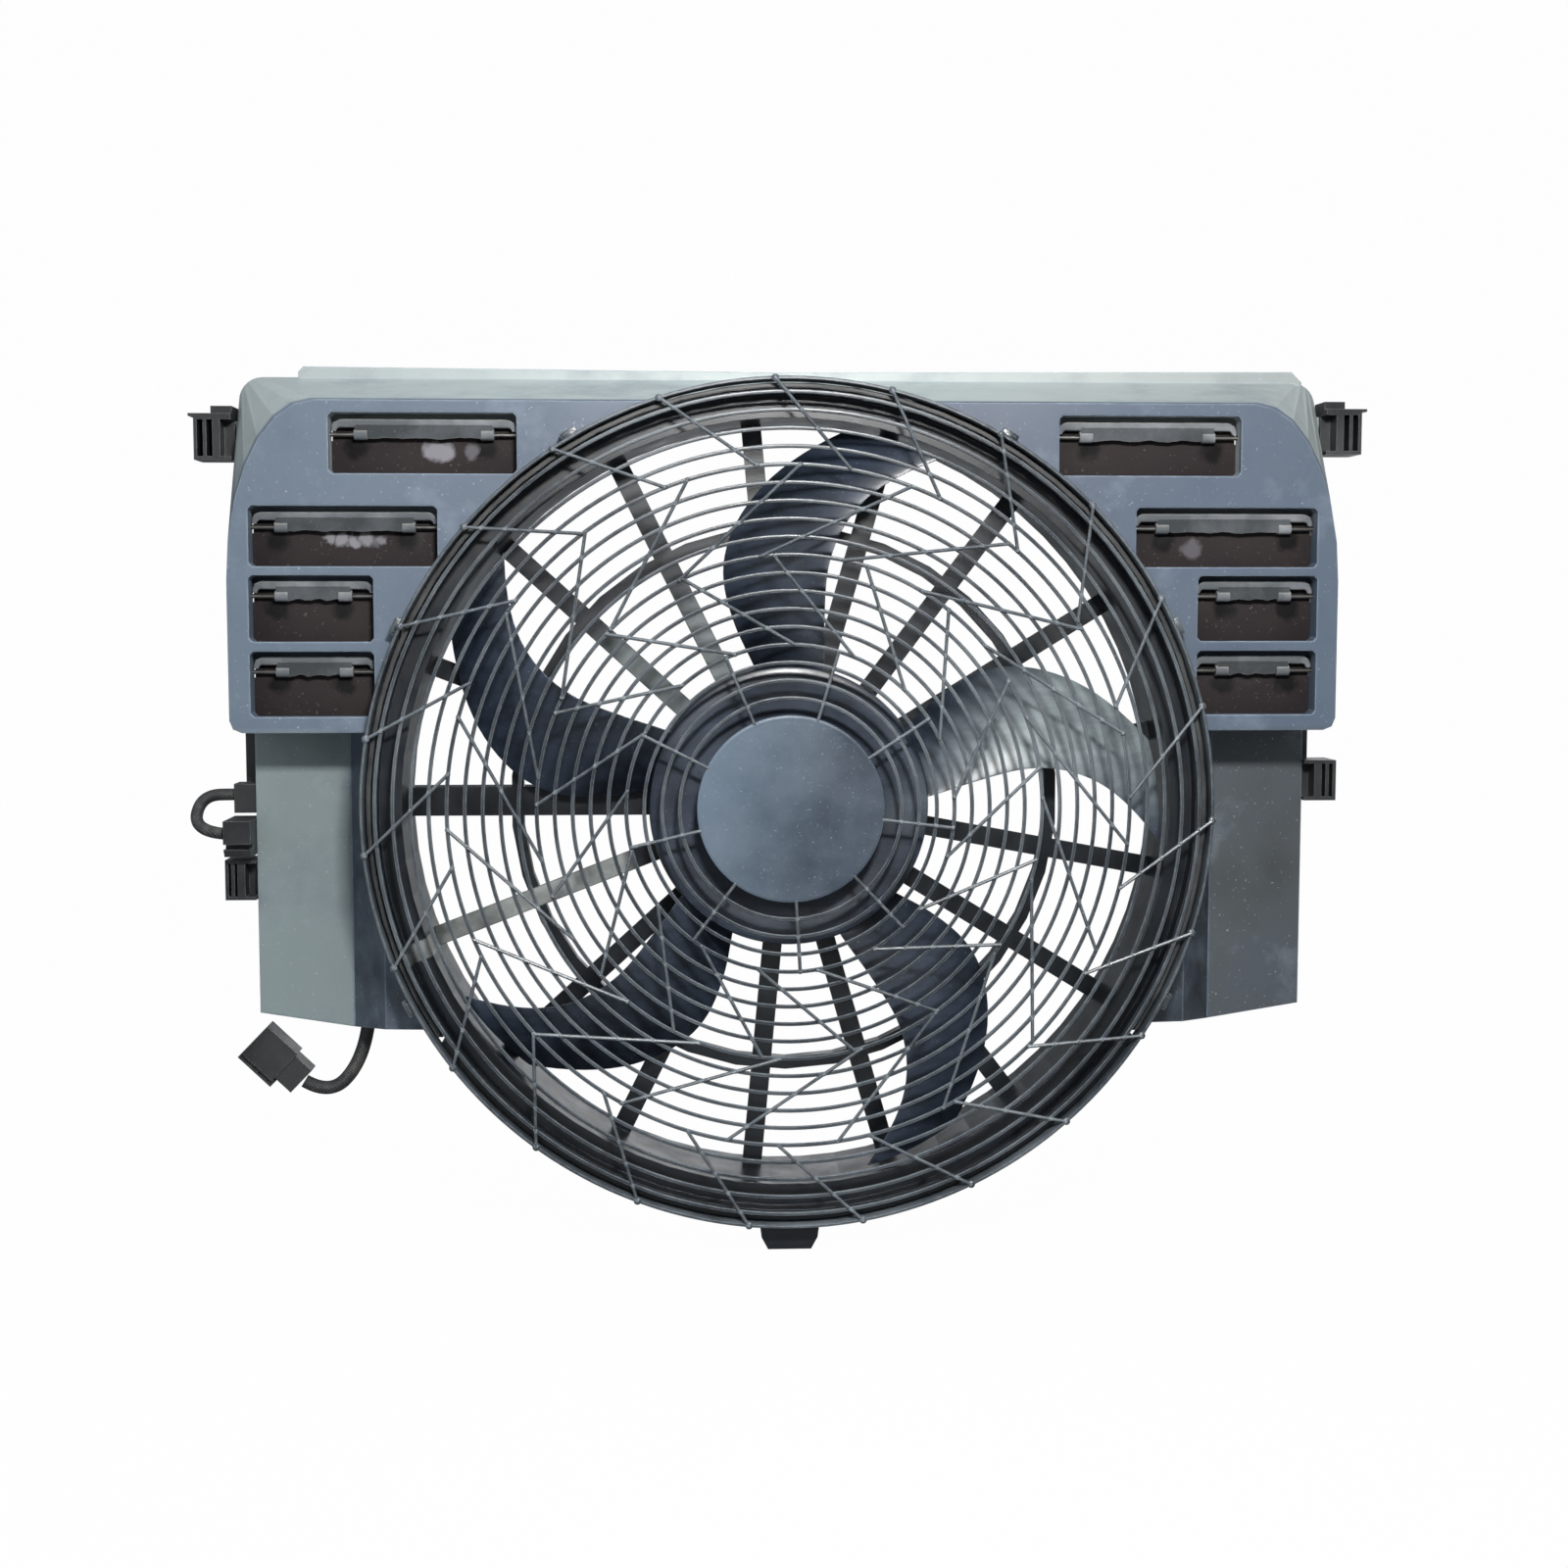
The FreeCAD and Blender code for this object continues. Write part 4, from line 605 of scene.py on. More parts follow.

# %% [markdown]
# The flaps' windows and finishes.
# Each end of the shroud has four windows with a flap. The plates are brown-black and dull, with pale scuffs
# where something rubbed them and a painted shadow, a dark blob, below each knuckle. Every scuff and every
# painted shadow is a place with a reach, and the place is shaken by noise before it is measured, so that its
# rim is ragged. The lips are dustier, and the band is between.

# %% Flap finishes
# Windows of the right end in mm: inner and outer X, lower and upper Z
WINDOWS = {
    "1": (152.5, 256.5, 187.5, 221.0),
    "2": (197.0, 301.5, 136.0, 169.5),
    "3": (233.0, 302.0, 94.0, 131.0),
    "4": (233.0, 302.0, 52.0, 88.5),
}
PIN_DROP = 11.5
SHADOW_DROP = 7.0
SHADOW_REACH = 8.0
SHADOW_STRENGTH = 0.9
SHAKE = 8.0
PLATE_FRONT = -52.7
PALE, KNUCKLE_SHADOW = "#8d8c92", "#050506"


def scuff_and_shadow_places():
    """X, Z, reach, strength and tone of each rubbed place, and of each painted shadow below a knuckle."""
    places = [
        (-200.0, 200.0, 7.0, 0.65, PALE), (-194.0, 200.5, 7.0, 0.65, PALE), (-178.0, 201.0, 5.5, 0.3, PALE),
        (-259.0, 152.0, 4.0, 0.6, PALE), (-252.0, 150.5, 5.0, 0.65, PALE), (-245.0, 150.0, 5.0, 0.65, PALE),
        (-238.0, 150.5, 5.0, 0.6, PALE), (-231.0, 150.5, 4.0, 0.5, PALE), (232.0, 147.0, 7.0, 0.25, PALE),
    ]
    # Painted shadows: a dark blob below each of the two knuckles of every window, on both sides.
    for side in (-1.0, 1.0):
        for inner, outer, _, high in WINDOWS.values():
            for x in (inner + 18.5, outer - 13.5):
                places.append((side * x, high - PIN_DROP - SHADOW_DROP, SHADOW_REACH, SHADOW_STRENGTH, KNUCKLE_SHADOW))
    return places


def scuffs_and_shadows(n, colour, places):
    """Lay the scuffs and the painted shadows of each tone over a colour."""
    shaken = n.add("ShaderNodeTexNoise")
    n.put(n.place, shaken.inputs["Vector"])
    shaken.inputs["Scale"].default_value = 140.0
    shift = n.add("ShaderNodeVectorMath", operation="MULTIPLY_ADD")
    n.put(shaken.outputs["Color"], shift.inputs[0])
    n.put((SHAKE * MM, SHAKE * MM, SHAKE * MM), shift.inputs[1])
    n.put(n.place, shift.inputs[2])
    middle = Vector((SHAKE, SHAKE, SHAKE)) / 2.0
    for tone in sorted({place[4] for place in places}):
        patch = 0.0
        for x, z, reach, strength, _ in [place for place in places if place[4] == tone]:
            offset = n.add("ShaderNodeVectorMath", operation="DISTANCE")
            n.put(shift.outputs["Vector"], offset.inputs[0])
            n.put((Vector((x, PLATE_FRONT, z)) + middle) * MM, offset.inputs[1])
            near = n.span(offset.outputs["Value"], reach * MM, reach * 0.55 * MM, 0.0, strength)
            patch = n.math("MAXIMUM", near, patch)
        colour = n.tint(colour, patch, tone)
    return colour


def flap_finish(name, base, dust, share, places=()):
    """Brown-black plastic with dust on what faces up, and scuffs and painted shadows at given places."""
    n = Nodes(name)
    colour = n.mix(n.spots(30.0, 0.45, 0.7, share, 6.0), linear(base), linear(dust))
    colour = n.tint(colour, n.spots(500.0, 0.66, 0.75, 0.3, 2.0), "#77726d")
    settled = n.times(n.up(), n.span(n.noise(120.0), 0.3, 0.65, 0.4, 1.0))
    colour = n.tint(colour, settled, "#989692")
    if places:
        colour = scuffs_and_shadows(n, colour, places)
    colour = n.tint(colour, n.worn(0.1, 0.7, 0.0006, 200.0), "#8a8580")
    gloss = n.span(n.noise(60.0), 0.3, 0.7, 0.55, 0.8)
    return n.finish(colour, gloss, n.noise(800.0), 0.00008, 0.0004, specular=0.15)


flap_black = flap_finish("flap_brown_black", "#231e1f", "#38312f", 0.35, scuff_and_shadow_places())
flap_dusty = flap_finish("flap_dusty", "#54585c", "#898c90", 0.75)
flap_band = flap_finish("flap_band", "#33373a", "#5c5f63", 0.7)
print("scuffs", len(scuff_and_shadow_places()))

# %% [markdown]
# The flap's plate.
# Each flap hangs from its hinge as a thin plate that closes the window from behind. Below the pin it
# reaches a little behind the frame on the outer side, so that no light comes past it there.

# %% Flap plate
SIDE_GAP = 0.4
PLATE_REAR = -50.9
PLATE_BELOW = 1.6
PLATE_ASIDE = 1.4
PLATE_STEP = 3.3
PLATE_ABOVE = 6.0


def flap_plate(name, side, low_x, high_x, low, pin):
    """The plate, which stands for the flap's node."""
    wide_low, wide_high = (low_x - PLATE_ASIDE, high_x) if side < 0 else (low_x, high_x + PLATE_ASIDE)
    foot, step, head = low - PLATE_BELOW, pin - PLATE_STEP, pin + PLATE_ABOVE
    verts, faces = [], []
    slab([(wide_low, foot), (wide_high, foot), (wide_high, step), (high_x, step),
          (high_x, head), (low_x, head), (low_x, step), (wide_low, step)],
         PLATE_FRONT, PLATE_REAR, verts, faces)
    plate = make_piece(name + "_plate", verts, faces, flap_black, name)
    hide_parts(name)
    soften(plate, 0.3 * MM)


print("plate thickness", round(PLATE_REAR - PLATE_FRONT, 2))

# %% [markdown]
# The flap's band.
# Between the knuckles a band covers the pin. Its lower edge is worn and wavy: each step keeps most of the
# height of the one before and adds a little at random, over one slow wave, which looks worn where plain
# noise looks torn.

# %% Flap band
PIN_DEPTH = -56.5
BAND_TOP = 6.0
BAND_FOOT = 13.6
BAND_STEPS = 44
BAND_FRONT = PIN_DEPTH - 2.0
BAND_REAR = PIN_DEPTH - 1.3
KNUCKLE_COVER = 3.0


def flap_band_piece(name, inner, knuckles, high):
    """The band from the middle of one knuckle to the other."""
    left, right = knuckles[0] - KNUCKLE_COVER, knuckles[1] + KNUCKLE_COVER
    wavy = []
    level = 0.0
    for i in range(BAND_STEPS + 1):
        level = 0.6 * level + rng.uniform(-0.28, 0.28)
        wave = 0.35 * math.sin(i * 0.55 + inner)
        wavy.append((left + (right - left) * i / BAND_STEPS, high - BAND_FOOT + level + wave))
    verts, faces = [], []
    slab(wavy + [(right, high - BAND_TOP), (left, high - BAND_TOP)], BAND_FRONT, BAND_REAR, verts, faces)
    make_piece(name + "_band", verts, faces, flap_band, name, 35.0)


print("band thickness", round(BAND_REAR - BAND_FRONT, 2))

# %% [markdown]
# The flap's lip and knuckles.
# A rounded lip runs along the top of the flap, with ends that curl down to the pin, and two round knuckles
# take the pin. The lip is a bar along a path whose section is a blunt oval, nearly flat in front, as
# moulded lips are.

# %% Flap lip
LIP_DEPTH = -56.8
LIP_DROP = 5.3
LIP_CURL = 4.4
LIP_INSET = 1.4
LIP_STEPS = 6
LIP_END_HALF = 1.3
LIP_HALF_GAIN = 1.1
LIP_HALF_DEEP = 1.5
WEB_INSET, WEB_LOW, WEB_HIGH, WEB_FRONT = 1.0, 7.6, 4.4, -56.0
KNUCKLE_ENDS = [(-3.75, 2.7), (-3.5, 3.0), (3.5, 3.0), (3.75, 2.7)]
EAR_HALF, EAR_BELOW, EAR_ABOVE = 3.4, 2.6, 4.5


def bar(path, verts, faces, sides=16, blunt=0.55):
    """Add a rod along a path of X, depth, Z, half height and half depth; a blunt one has a flat front."""
    first = len(verts)
    places = [Vector(p[:3]) for p in path]
    depth = Vector((0.0, 1.0, 0.0))
    for i, (x, y, z, tall, deep) in enumerate(path):
        along = (places[min(i + 1, len(path) - 1)] - places[max(i - 1, 0)]).normalized()
        up = depth.cross(along).normalized()
        for j in range(sides):
            turn = 2.0 * math.pi * j / sides
            rise, out = (math.copysign(abs(f(turn)) ** blunt, f(turn)) for f in (math.sin, math.cos))
            verts.append((places[i] + up * (tall * rise) + depth * (deep * out)) * MM)
    skin_rows(first, len(path), sides, faces)
    cap_rows(first, len(path), sides, faces)


def lip_path(low_x, high_x, top):
    """The lip's middle line, which curls down to the pin at both ends."""
    middle = top - LIP_DROP
    path = []
    for end, way in ((low_x, 1.0), (high_x, -1.0)):
        half = []
        for i in range(LIP_STEPS + 1):
            turn = math.radians(90.0 * i / LIP_STEPS)
            tall = LIP_END_HALF + LIP_HALF_GAIN * i / LIP_STEPS
            x = end + way * (LIP_INSET + LIP_CURL * (1.0 - math.cos(turn)))
            half.append((x, LIP_DEPTH, middle - LIP_CURL + LIP_CURL * math.sin(turn), tall, LIP_HALF_DEEP))
        path += half if way > 0 else reversed(half)
    return path


def flap_lip(name, low_x, high_x, knuckles, high, pin):
    """The lip with its web to the plate, and the two knuckles with their ears."""
    verts, faces = [], []
    bar(lip_path(low_x, high_x, high), verts, faces)
    left, right = low_x + WEB_INSET, high_x - WEB_INSET
    slab([(left, high - WEB_LOW), (right, high - WEB_LOW), (right, high - WEB_HIGH), (left, high - WEB_HIGH)],
         WEB_FRONT, PLATE_FRONT + 0.1, verts, faces)
    foot, head = pin - EAR_BELOW, pin + EAR_ABOVE
    for middle in knuckles:
        left, right = middle - EAR_HALF, middle + EAR_HALF
        slab([(left, foot), (right, foot), (right, head), (left, head)],
             PIN_DEPTH + 0.6, PLATE_FRONT + 0.1, verts, faces)
        bar([(middle + x, PIN_DEPTH, pin, r, r) for x, r in KNUCKLE_ENDS], verts, faces, 24, 1.0)
    make_piece(name + "_lip", verts, faces, flap_dusty, name, 35.0)


print("points of a lip", len(lip_path(0.0, 100.0, 0.0)))

# %% [markdown]
# All eight flaps.
# The left end is the right one's mirror image, so one loop over both sides and the four windows makes them
# all. Each flap's pieces ride on its own body, and so they turn with it.

# %% Flaps
KNUCKLE_PLACE = 16.75

for side_name, side in (("left", -1.0), ("right", 1.0)):
    for window, (inner, outer, low, high) in WINDOWS.items():
        flap = "flap_%s_%s" % (side_name, window)
        low_x, high_x = sorted((side * (inner + SIDE_GAP), side * (outer - SIDE_GAP)))
        knuckles = sorted((side * (inner + KNUCKLE_PLACE), side * (outer - KNUCKLE_PLACE)))
        pin = high - PIN_DROP
        flap_plate(flap, side, low_x, high_x, low, pin)
        flap_band_piece(flap, inner, knuckles, high)
        flap_lip(flap, low_x, high_x, knuckles, high, pin)
print("flaps", 2 * len(WINDOWS))

# %% [markdown]
# The guard's layout.
# The guard is one moulding: eighteen rings at an even pitch, thin ribs that lie over them in four zones, a
# rim and a middle disc. A ring number gives its radius, and the numbers past both ends stand for the rim
# and the disc's edge, so that a rib's zone is just two ring numbers, a count, an angle and a turn.

# %% Guard layout
GUARD_FRONT = -80.0
RING_COUNT = 18
FIRST_RING = 62.5
RING_PITCH = 10.0
RIM_RADIUS = 240.0
RIB_FOOT_RADIUS = 52.0
# Rib zones: outer and inner ring, count, first angle, and how far the inner end is turned
RIB_ZONES = [
    (18, 13, 23, 92.1, -12.1), (13, 8, 19, 107.4, 27.5), (8, 3, 17, 94.0, -26.5), (3, -1, 9, 33.2, 0.0),
]


def guard_radius(number):
    """A ring's radius; past the last ring comes the rim, and before the first the edge of the disc."""
    if number >= RING_COUNT:
        return RIM_RADIUS
    if number < 0:
        return RIB_FOOT_RADIUS
    return FIRST_RING + RING_PITCH * number


def polar(radius, angle, y):
    """A point by its radius in mm, its angle in degrees and its depth in mm."""
    turn = math.radians(angle)
    return Vector((radius * math.cos(turn) * MM, y * MM, radius * math.sin(turn) * MM))


print("ribs", sum(zone[2] for zone in RIB_ZONES))

# %% [markdown]
# The guard's rings.
# The frame holds the rings as straight runs. Here each one is a section that is carried round the axis in
# many steps, so that it is truly round: a rounded wedge for the rings, as it comes out of a mould, and a
# flat band for the rim.

# %% Guard rings
RING_SEGMENTS = 180
RIM_SEGMENTS = 220
RING_SECTION = [(1.15, 0.75), (0.8, 0.15), (0.0, 0.0), (-0.8, 0.15), (-1.15, 0.75), (-0.75, 2.7),
                (-0.25, 4.4), (0.25, 4.4), (0.75, 2.7)]
RIM_SECTION = [(238.95, -66.3), (238.95, -79.2), (239.5, -79.95), (240.5, -79.95), (241.05, -79.2),
               (241.05, -66.3)]


def swept_ring(section, segments, verts, faces):
    """Add a ring about the fan's axis from a closed section of radius and depth."""
    first = len(verts)
    count = len(section)
    for i in range(segments):
        verts.extend(polar(radius, 360.0 * i / segments, y) for radius, y in section)
    for i in range(segments):
        here = first + i * count
        there = first + (i + 1) % segments * count
        for j in range(count):
            k = (j + 1) % count
            faces.append((here + j, here + k, there + k, there + j))


grille_verts, grille_faces = [], []
for number in range(RING_COUNT):
    section = [(guard_radius(number) + dr, GUARD_FRONT + dy) for dr, dy in RING_SECTION]
    swept_ring(section, RING_SEGMENTS, grille_verts, grille_faces)
swept_ring(RIM_SECTION, RIM_SEGMENTS, grille_verts, grille_faces)
print("faces of the rings", len(grille_faces))

# %% [markdown]
# The guard's ribs.
# A rib is a straight rod over the rings. Where it crosses one, the mould left a small bump, and where it
# ends on the rim, a dot. The bump's place is where the rib's line meets the ring's circle, which is a
# quadratic equation.

# %% Guard ribs
RIB_RADIUS = 1.0
RIB_LIFT = 0.35
RIB_DEEP = 1.15
BUMP_RADIUS, BUMP_HEIGHT = 1.45, 1.35
DOT_RADIUS, DOT_HEIGHT = 2.2, 1.5


def tube(start, end, radius, sides, verts, faces, flat=1.0):
    """Add a straight rod with domed ends between two points; flat squeezes it in depth."""
    along = (end - start).normalized()
    depth = Vector((0.0, 1.0, 0.0))
    across = along.cross(depth).normalized()
    dome = along * radius * 0.5
    rows = [(start - dome, 0.55), (start, 1.0), (end, 1.0), (end + dome, 0.55)]
    first = len(verts)
    for centre, share in rows:
        for i in range(sides):
            turn = 2.0 * math.pi * i / sides
            side = across * math.cos(turn) + depth * (math.sin(turn) * flat)
            verts.append(centre + side * radius * share)
    skin_rows(first, len(rows), sides, faces)
    cap_rows(first, len(rows), sides, faces)


def bead(centre, radius, height, verts, faces, sides):
    """Add a low round bump that faces the front."""
    first = len(verts)
    rows = [(1.0, 0.0), (0.85, 0.6), (0.45, 0.92)]
    for share, lift in rows:
        for i in range(sides):
            turn = 2.0 * math.pi * i / sides
            reach = radius * share
            verts.append(centre + Vector((math.cos(turn) * reach, -height * lift, math.sin(turn) * reach)))
    verts.append(centre + Vector((0.0, -height, 0.0)))
    skin_rows(first, len(rows), sides, faces)
    last = first + (len(rows) - 1) * sides
    for i in range(sides):
        faces.append((last + i, last + (i + 1) % sides, len(verts) - 1))
    faces.append(tuple(first + i for i in reversed(range(sides))))


def crossing(start, end, radius):
    """Where the line between two points meets a circle about the axis, or None."""
    run = end - start
    a = run.x ** 2 + run.z ** 2
    b = 2.0 * (start.x * run.x + start.z * run.z)
    c = start.x ** 2 + start.z ** 2 - (radius * MM) ** 2
    root = b * b - 4.0 * a * c
    if root < 0.0:
        return None
    for share in sorted(((-b - math.sqrt(root)) / (2.0 * a), (-b + math.sqrt(root)) / (2.0 * a))):
        if 0.0 <= share <= 1.0:
            return start + run * share
    return None


def rib(outer, inner, place, turn, verts, faces):
    """Add one rib with its bumps and its dot on the rim, and return how many rings it crosses."""
    start = polar(guard_radius(outer), place, GUARD_FRONT - RIB_LIFT)
    end = polar(guard_radius(inner), place + turn, GUARD_FRONT - RIB_LIFT)
    tube(start, end, RIB_RADIUS * MM, 8, verts, faces, RIB_DEEP)
    bumps = 0
    for number in range(max(inner, 0), min(outer, RING_COUNT - 1) + 1):
        point = crossing(start, end, guard_radius(number))
        if point is not None:
            top = Vector((point.x, (GUARD_FRONT - 0.1) * MM, point.z))
            bead(top, BUMP_RADIUS * MM, BUMP_HEIGHT * MM, verts, faces, 8)
            bumps += 1
    if outer == RING_COUNT:
        dot = polar(RIM_RADIUS, place, GUARD_FRONT + 0.1)
        bead(dot, DOT_RADIUS * MM, DOT_HEIGHT * MM, verts, faces, 12)
    return bumps


bumps = 0
for outer, inner, count, angle, turn in RIB_ZONES:
    for i in range(count):
        bumps += rib(outer, inner, angle + 360.0 * i / count, turn, grille_verts, grille_faces)
grille = make_piece("guard_grille", grille_verts, grille_faces, guard_black, "frame")
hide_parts("guard")
print("guard bumps", bumps)

# %% [markdown]
# The guard's disc.
# The disc in the middle is satin and more blue than the rings, with fine scratches, and a painted highlight
# makes it paler towards the left and the top. It is the same kind of swept section as the rings, with a step
# inside its rim, and its edge is kept a little sharper.

# %% Guard disc
DISC_SECTION = [(0.02, -77.5), (52.2, -77.5), (53.0, -78.2), (53.0, -80.0), (52.6, -80.7), (51.8, -81.0),
                (50.6, -80.85), (49.8, -80.85), (0.02, -80.95)]


def disc_finish():
    """Blue-grey satin with a painted highlight to the left and the top, scratches and specks."""
    n = Nodes("disc_grey")
    # Painted highlight: the disc is paler towards the left and the top.
    lean = n.plus(n.times(n.axis("X"), -1.0), n.times(n.axis("Z"), 0.35))
    colour = n.mix(n.span(lean, -0.02, 0.055), linear("#26313d"), linear("#4e5c6a"))
    colour = n.tint(colour, n.spots(38.0, 0.38, 0.7, 0.15, 5.0), "#7b8694")
    colour = n.tint(colour, n.spots(150.0, 0.66, 0.72, 0.3, 3.0, 0.7, (1.0, 1.0, 9.0)), "#95a3ae")
    colour = n.tint(colour, n.spots(700.0, 0.68, 0.74, 0.35, 2.0), "#9aa6b0")
    colour = n.tint(colour, n.worn(0.2, 0.6), "#8f9daa")
    gloss = n.span(n.noise(30.0), 0.3, 0.7, 0.34, 0.5)
    return n.finish(colour, gloss, n.noise(1200.0, 3.0), 0.00008, 0.0004)


verts, faces = [], []
swept_ring(DISC_SECTION, 160, verts, faces)
make_piece("guard_disc", verts, faces, disc_finish(), "frame", 30.0)
print("disc faces", len(faces))

# %% [markdown]
# The guard's hooks.
# Six hooks on the rim snap over the carrier. Each is a block with a smaller one in front, set square to the
# rim at its own angle, with edges that are rounded in the mesh because they catch the light.

# %% Guard hooks
HOOK_ANGLES = (25.0, 59.5, 120.5, 155.0, 207.5, 332.5)
# Blocks of a hook: inner and outer radius, half width, front and rear depth
HOOK_BLOCKS = ((240.6, 245.0, 5.0, -75.9, -66.4), (240.6, 243.4, 3.2, -77.6, -75.8))

verts, faces = [], []
for angle in HOOK_ANGLES:
    out = polar(1.0, angle, 0.0) / MM
    across = Vector((-out.z, 0.0, out.x))
    for near, far, half, front, rear in HOOK_BLOCKS:
        corners = []
        for reach, y in ((near, front), (near, rear), (far, rear), (far, front)):
            corners.append((out * reach + Vector((0.0, y, 0.0))) * MM)
        aside = across * half * MM
        prism([c - aside for c in corners], [c + aside for c in corners], verts, faces)
hooks = make_piece("guard_hooks", verts, faces, guard_black, "frame")
soften(hooks, 0.5 * MM)
print("hooks", len(HOOK_ANGLES))

# %% [markdown]
# The fan wheel's finish.
# The wheel is satin black with a bluish haze that streaks along the blades: fine dust, with painted streaky
# highlights in it. A mask over the corner of the fan where the blade stands to the right paints a pale
# highlight on it.

# %% Fan finish


def fan_finish():
    """Satin black with a haze of dust and painted highlights, streaks, and a painted highlight on one side.
    """
    n = Nodes("fan_black")
    # Haze of dust, with painted streaky highlights.
    streaks = n.span(n.noise(40.0, 5.0, 0.65, (1.0, 0.3, 3.0)), 0.4, 0.7)
    amount = n.plus(n.spots(14.0, 0.38, 0.68, 0.13, 5.0), n.times(streaks, 0.11))
    colour = n.mix(amount, linear("#151a22"), linear("#667590"))
    # Painted highlight on the blade that stands to the right.
    across = n.math("SUBTRACT", n.axis("X"), n.times(n.axis("Z"), 0.9))
    right_sheen = n.times(n.span(across, 0.045, 0.1), n.span(n.axis("Z"), -0.02, 0.03))
    colour = n.tint(colour, n.times(right_sheen, n.span(streaks, 0.0, 1.0, 0.5, 0.85)), "#8f999b")
    colour = n.tint(colour, n.spots(600.0, 0.68, 0.75, 0.35, 2.0), "#8b949c")
    colour = n.tint(colour, n.worn(0.1, 0.4), "#76808c")
    gloss = n.span(n.noise(30.0), 0.3, 0.7, 0.28, 0.46)
    return n.finish(colour, gloss, n.noise(500.0, 3.0), 0.00008, 0.0006)


fan_black = fan_finish()
print("finish", fan_black.name)

# %% [markdown]
# The blade's surface.
# Five swept blades grow from a cup. The stations are those of the solid, each a distance from the axis with
# an angle, a width and two depths. Between them these run on smooth curves, so that the blade has one
# flowing surface with a rounded leading edge, where flat strips between the stations would show as bends.

# %% Blade surface
# Stations: distance in mm, angle and width in degrees, depths of the leading and of the trailing edge in mm
STATIONS = [
    (70.0, 88.5, 27.5, 60.0, 30.0),
    (104.0, 92.8, 27.0, 60.0, 29.0),
    (139.0, 92.8, 24.4, 59.5, 29.5),
    (176.0, 86.1, 19.9, 58.0, 31.0),
    (220.0, 71.9, 14.8, 56.0, 33.0),
]
ROOT_THICK = 4.0
TIP_THICK = 2.0
CAMBER = 4.5


def station_at(distance):
    """Angle, width, leading and trailing depth at a distance, on a smooth curve through the stations."""
    index = 0
    while index < len(STATIONS) - 2 and distance > STATIONS[index + 1][0]:
        index += 1
    low, high = STATIONS[index], STATIONS[index + 1]
    before = STATIONS[max(index - 1, 0)]
    after = STATIONS[min(index + 2, len(STATIONS) - 1)]
    span = high[0] - low[0]
    t = (distance - low[0]) / span
    values = []
    for k in range(1, 5):
        rise_in = (high[k] - before[k]) / (high[0] - before[0]) * span
        rise_out = (after[k] - low[k]) / (after[0] - low[0]) * span
        value = ((2 * t ** 3 - 3 * t ** 2 + 1) * low[k] + (t ** 3 - 2 * t ** 2 + t) * rise_in
                 + (3 * t ** 2 - 2 * t ** 3) * high[k] + (t ** 3 - t ** 2) * rise_out)
        values.append(value)
    return values


def blade_point(radius, share, lift_share):
    """A point of the blade at a true radius: share runs from the leading to the trailing edge."""
    run = STATIONS[-1][0] - STATIONS[0][0]
    arch = CAMBER * 4.0 * share * (1.0 - share)
    distance = radius
    for _ in range(8):
        angle, width, lead, trail = station_at(distance)
        half = distance * math.tan(math.radians(width / 2.0))
        thick = ROOT_THICK + (TIP_THICK - ROOT_THICK) * (distance - STATIONS[0][0]) / run
        chord = Vector((-2.0 * half, lead - trail))
        normal = Vector((lead - trail, 2.0 * half)).normalized()
        body = thick * 0.5 * min(1.0, (math.sin(math.pi * share) + 0.02) ** 0.35)
        offset = arch + body * lift_share
        slide = half + chord.x * share + normal.x * offset
        depth = -lead + chord.y * share - abs(normal.y) * offset
        distance = math.sqrt(max(radius ** 2 - slide ** 2, 1.0))
    turn = math.radians(angle)
    out = Vector((math.cos(turn), 0.0, math.sin(turn)))
    right = Vector((out.z, 0.0, -out.x))
    return (out * distance + right * slide + Vector((0.0, depth, 0.0))) * MM


print("blade width at half its length", round(station_at(145.0)[1], 2))

# %% [markdown]
# The wheel itself.
# One blade is laid out as rows of points at true radii, from inside the cup to the tip, and the other four
# are turned copies. The cup is a swept section like the disc, with a hole for its bush.

# %% Fan wheel
HUB_RADIUS = 80.0
HUB_FRONT = -62.0
HUB_REAR = -26.0
HUB_BORE = 8.6
BLADE_TIP = 215.9
BLADE_COUNT = 5
ROOT_SINK = 1.5
ALONG = 30
AROUND = 18
HUB_SECTION = [
    (HUB_BORE, HUB_FRONT), (24.0, HUB_FRONT), (26.0, HUB_FRONT + 0.5), (66.0, HUB_FRONT + 0.5),
    (68.0, HUB_FRONT), (77.0, HUB_FRONT), (79.2, HUB_FRONT + 0.9), (HUB_RADIUS, HUB_FRONT + 3.2),
    (HUB_RADIUS, HUB_REAR), (77.2, HUB_REAR), (77.2, HUB_FRONT + 2.8), (12.5, HUB_FRONT + 2.8),
    (12.5, -53.0), (HUB_BORE, -53.0),
]


def blade_rows():
    """Rows of points round the blade, from its root to its tip."""
    shares = [0.5 - 0.5 * math.cos(math.pi * j / AROUND) for j in range(AROUND + 1)]
    rows = []
    for i in range(ALONG + 1):
        radius = HUB_RADIUS - ROOT_SINK + (BLADE_TIP - HUB_RADIUS + ROOT_SINK) * i / ALONG
        row = [blade_point(radius, share, 1.0) for share in shares]
        row += [blade_point(radius, share, -1.0) for share in reversed(shares[1:-1])]
        rows.append(row)
    return rows


verts, faces = [], []
rows = blade_rows()
for number in range(BLADE_COUNT):
    turn = Matrix.Rotation(math.radians(360.0 / BLADE_COUNT * number), 3, "Y")
    first = len(verts)
    for row in rows:
        verts.extend(turn @ point for point in row)
    skin_rows(first, len(rows), len(rows[0]), faces)
    cap_rows(first, len(rows), len(rows[0]), faces)
swept_ring(HUB_SECTION, 160, verts, faces)
wheel = make_piece("fan_wheel_smooth", verts, faces, fan_black, "fan", 32.0)
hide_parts("fan_wheel")
print("fan faces", len(faces))

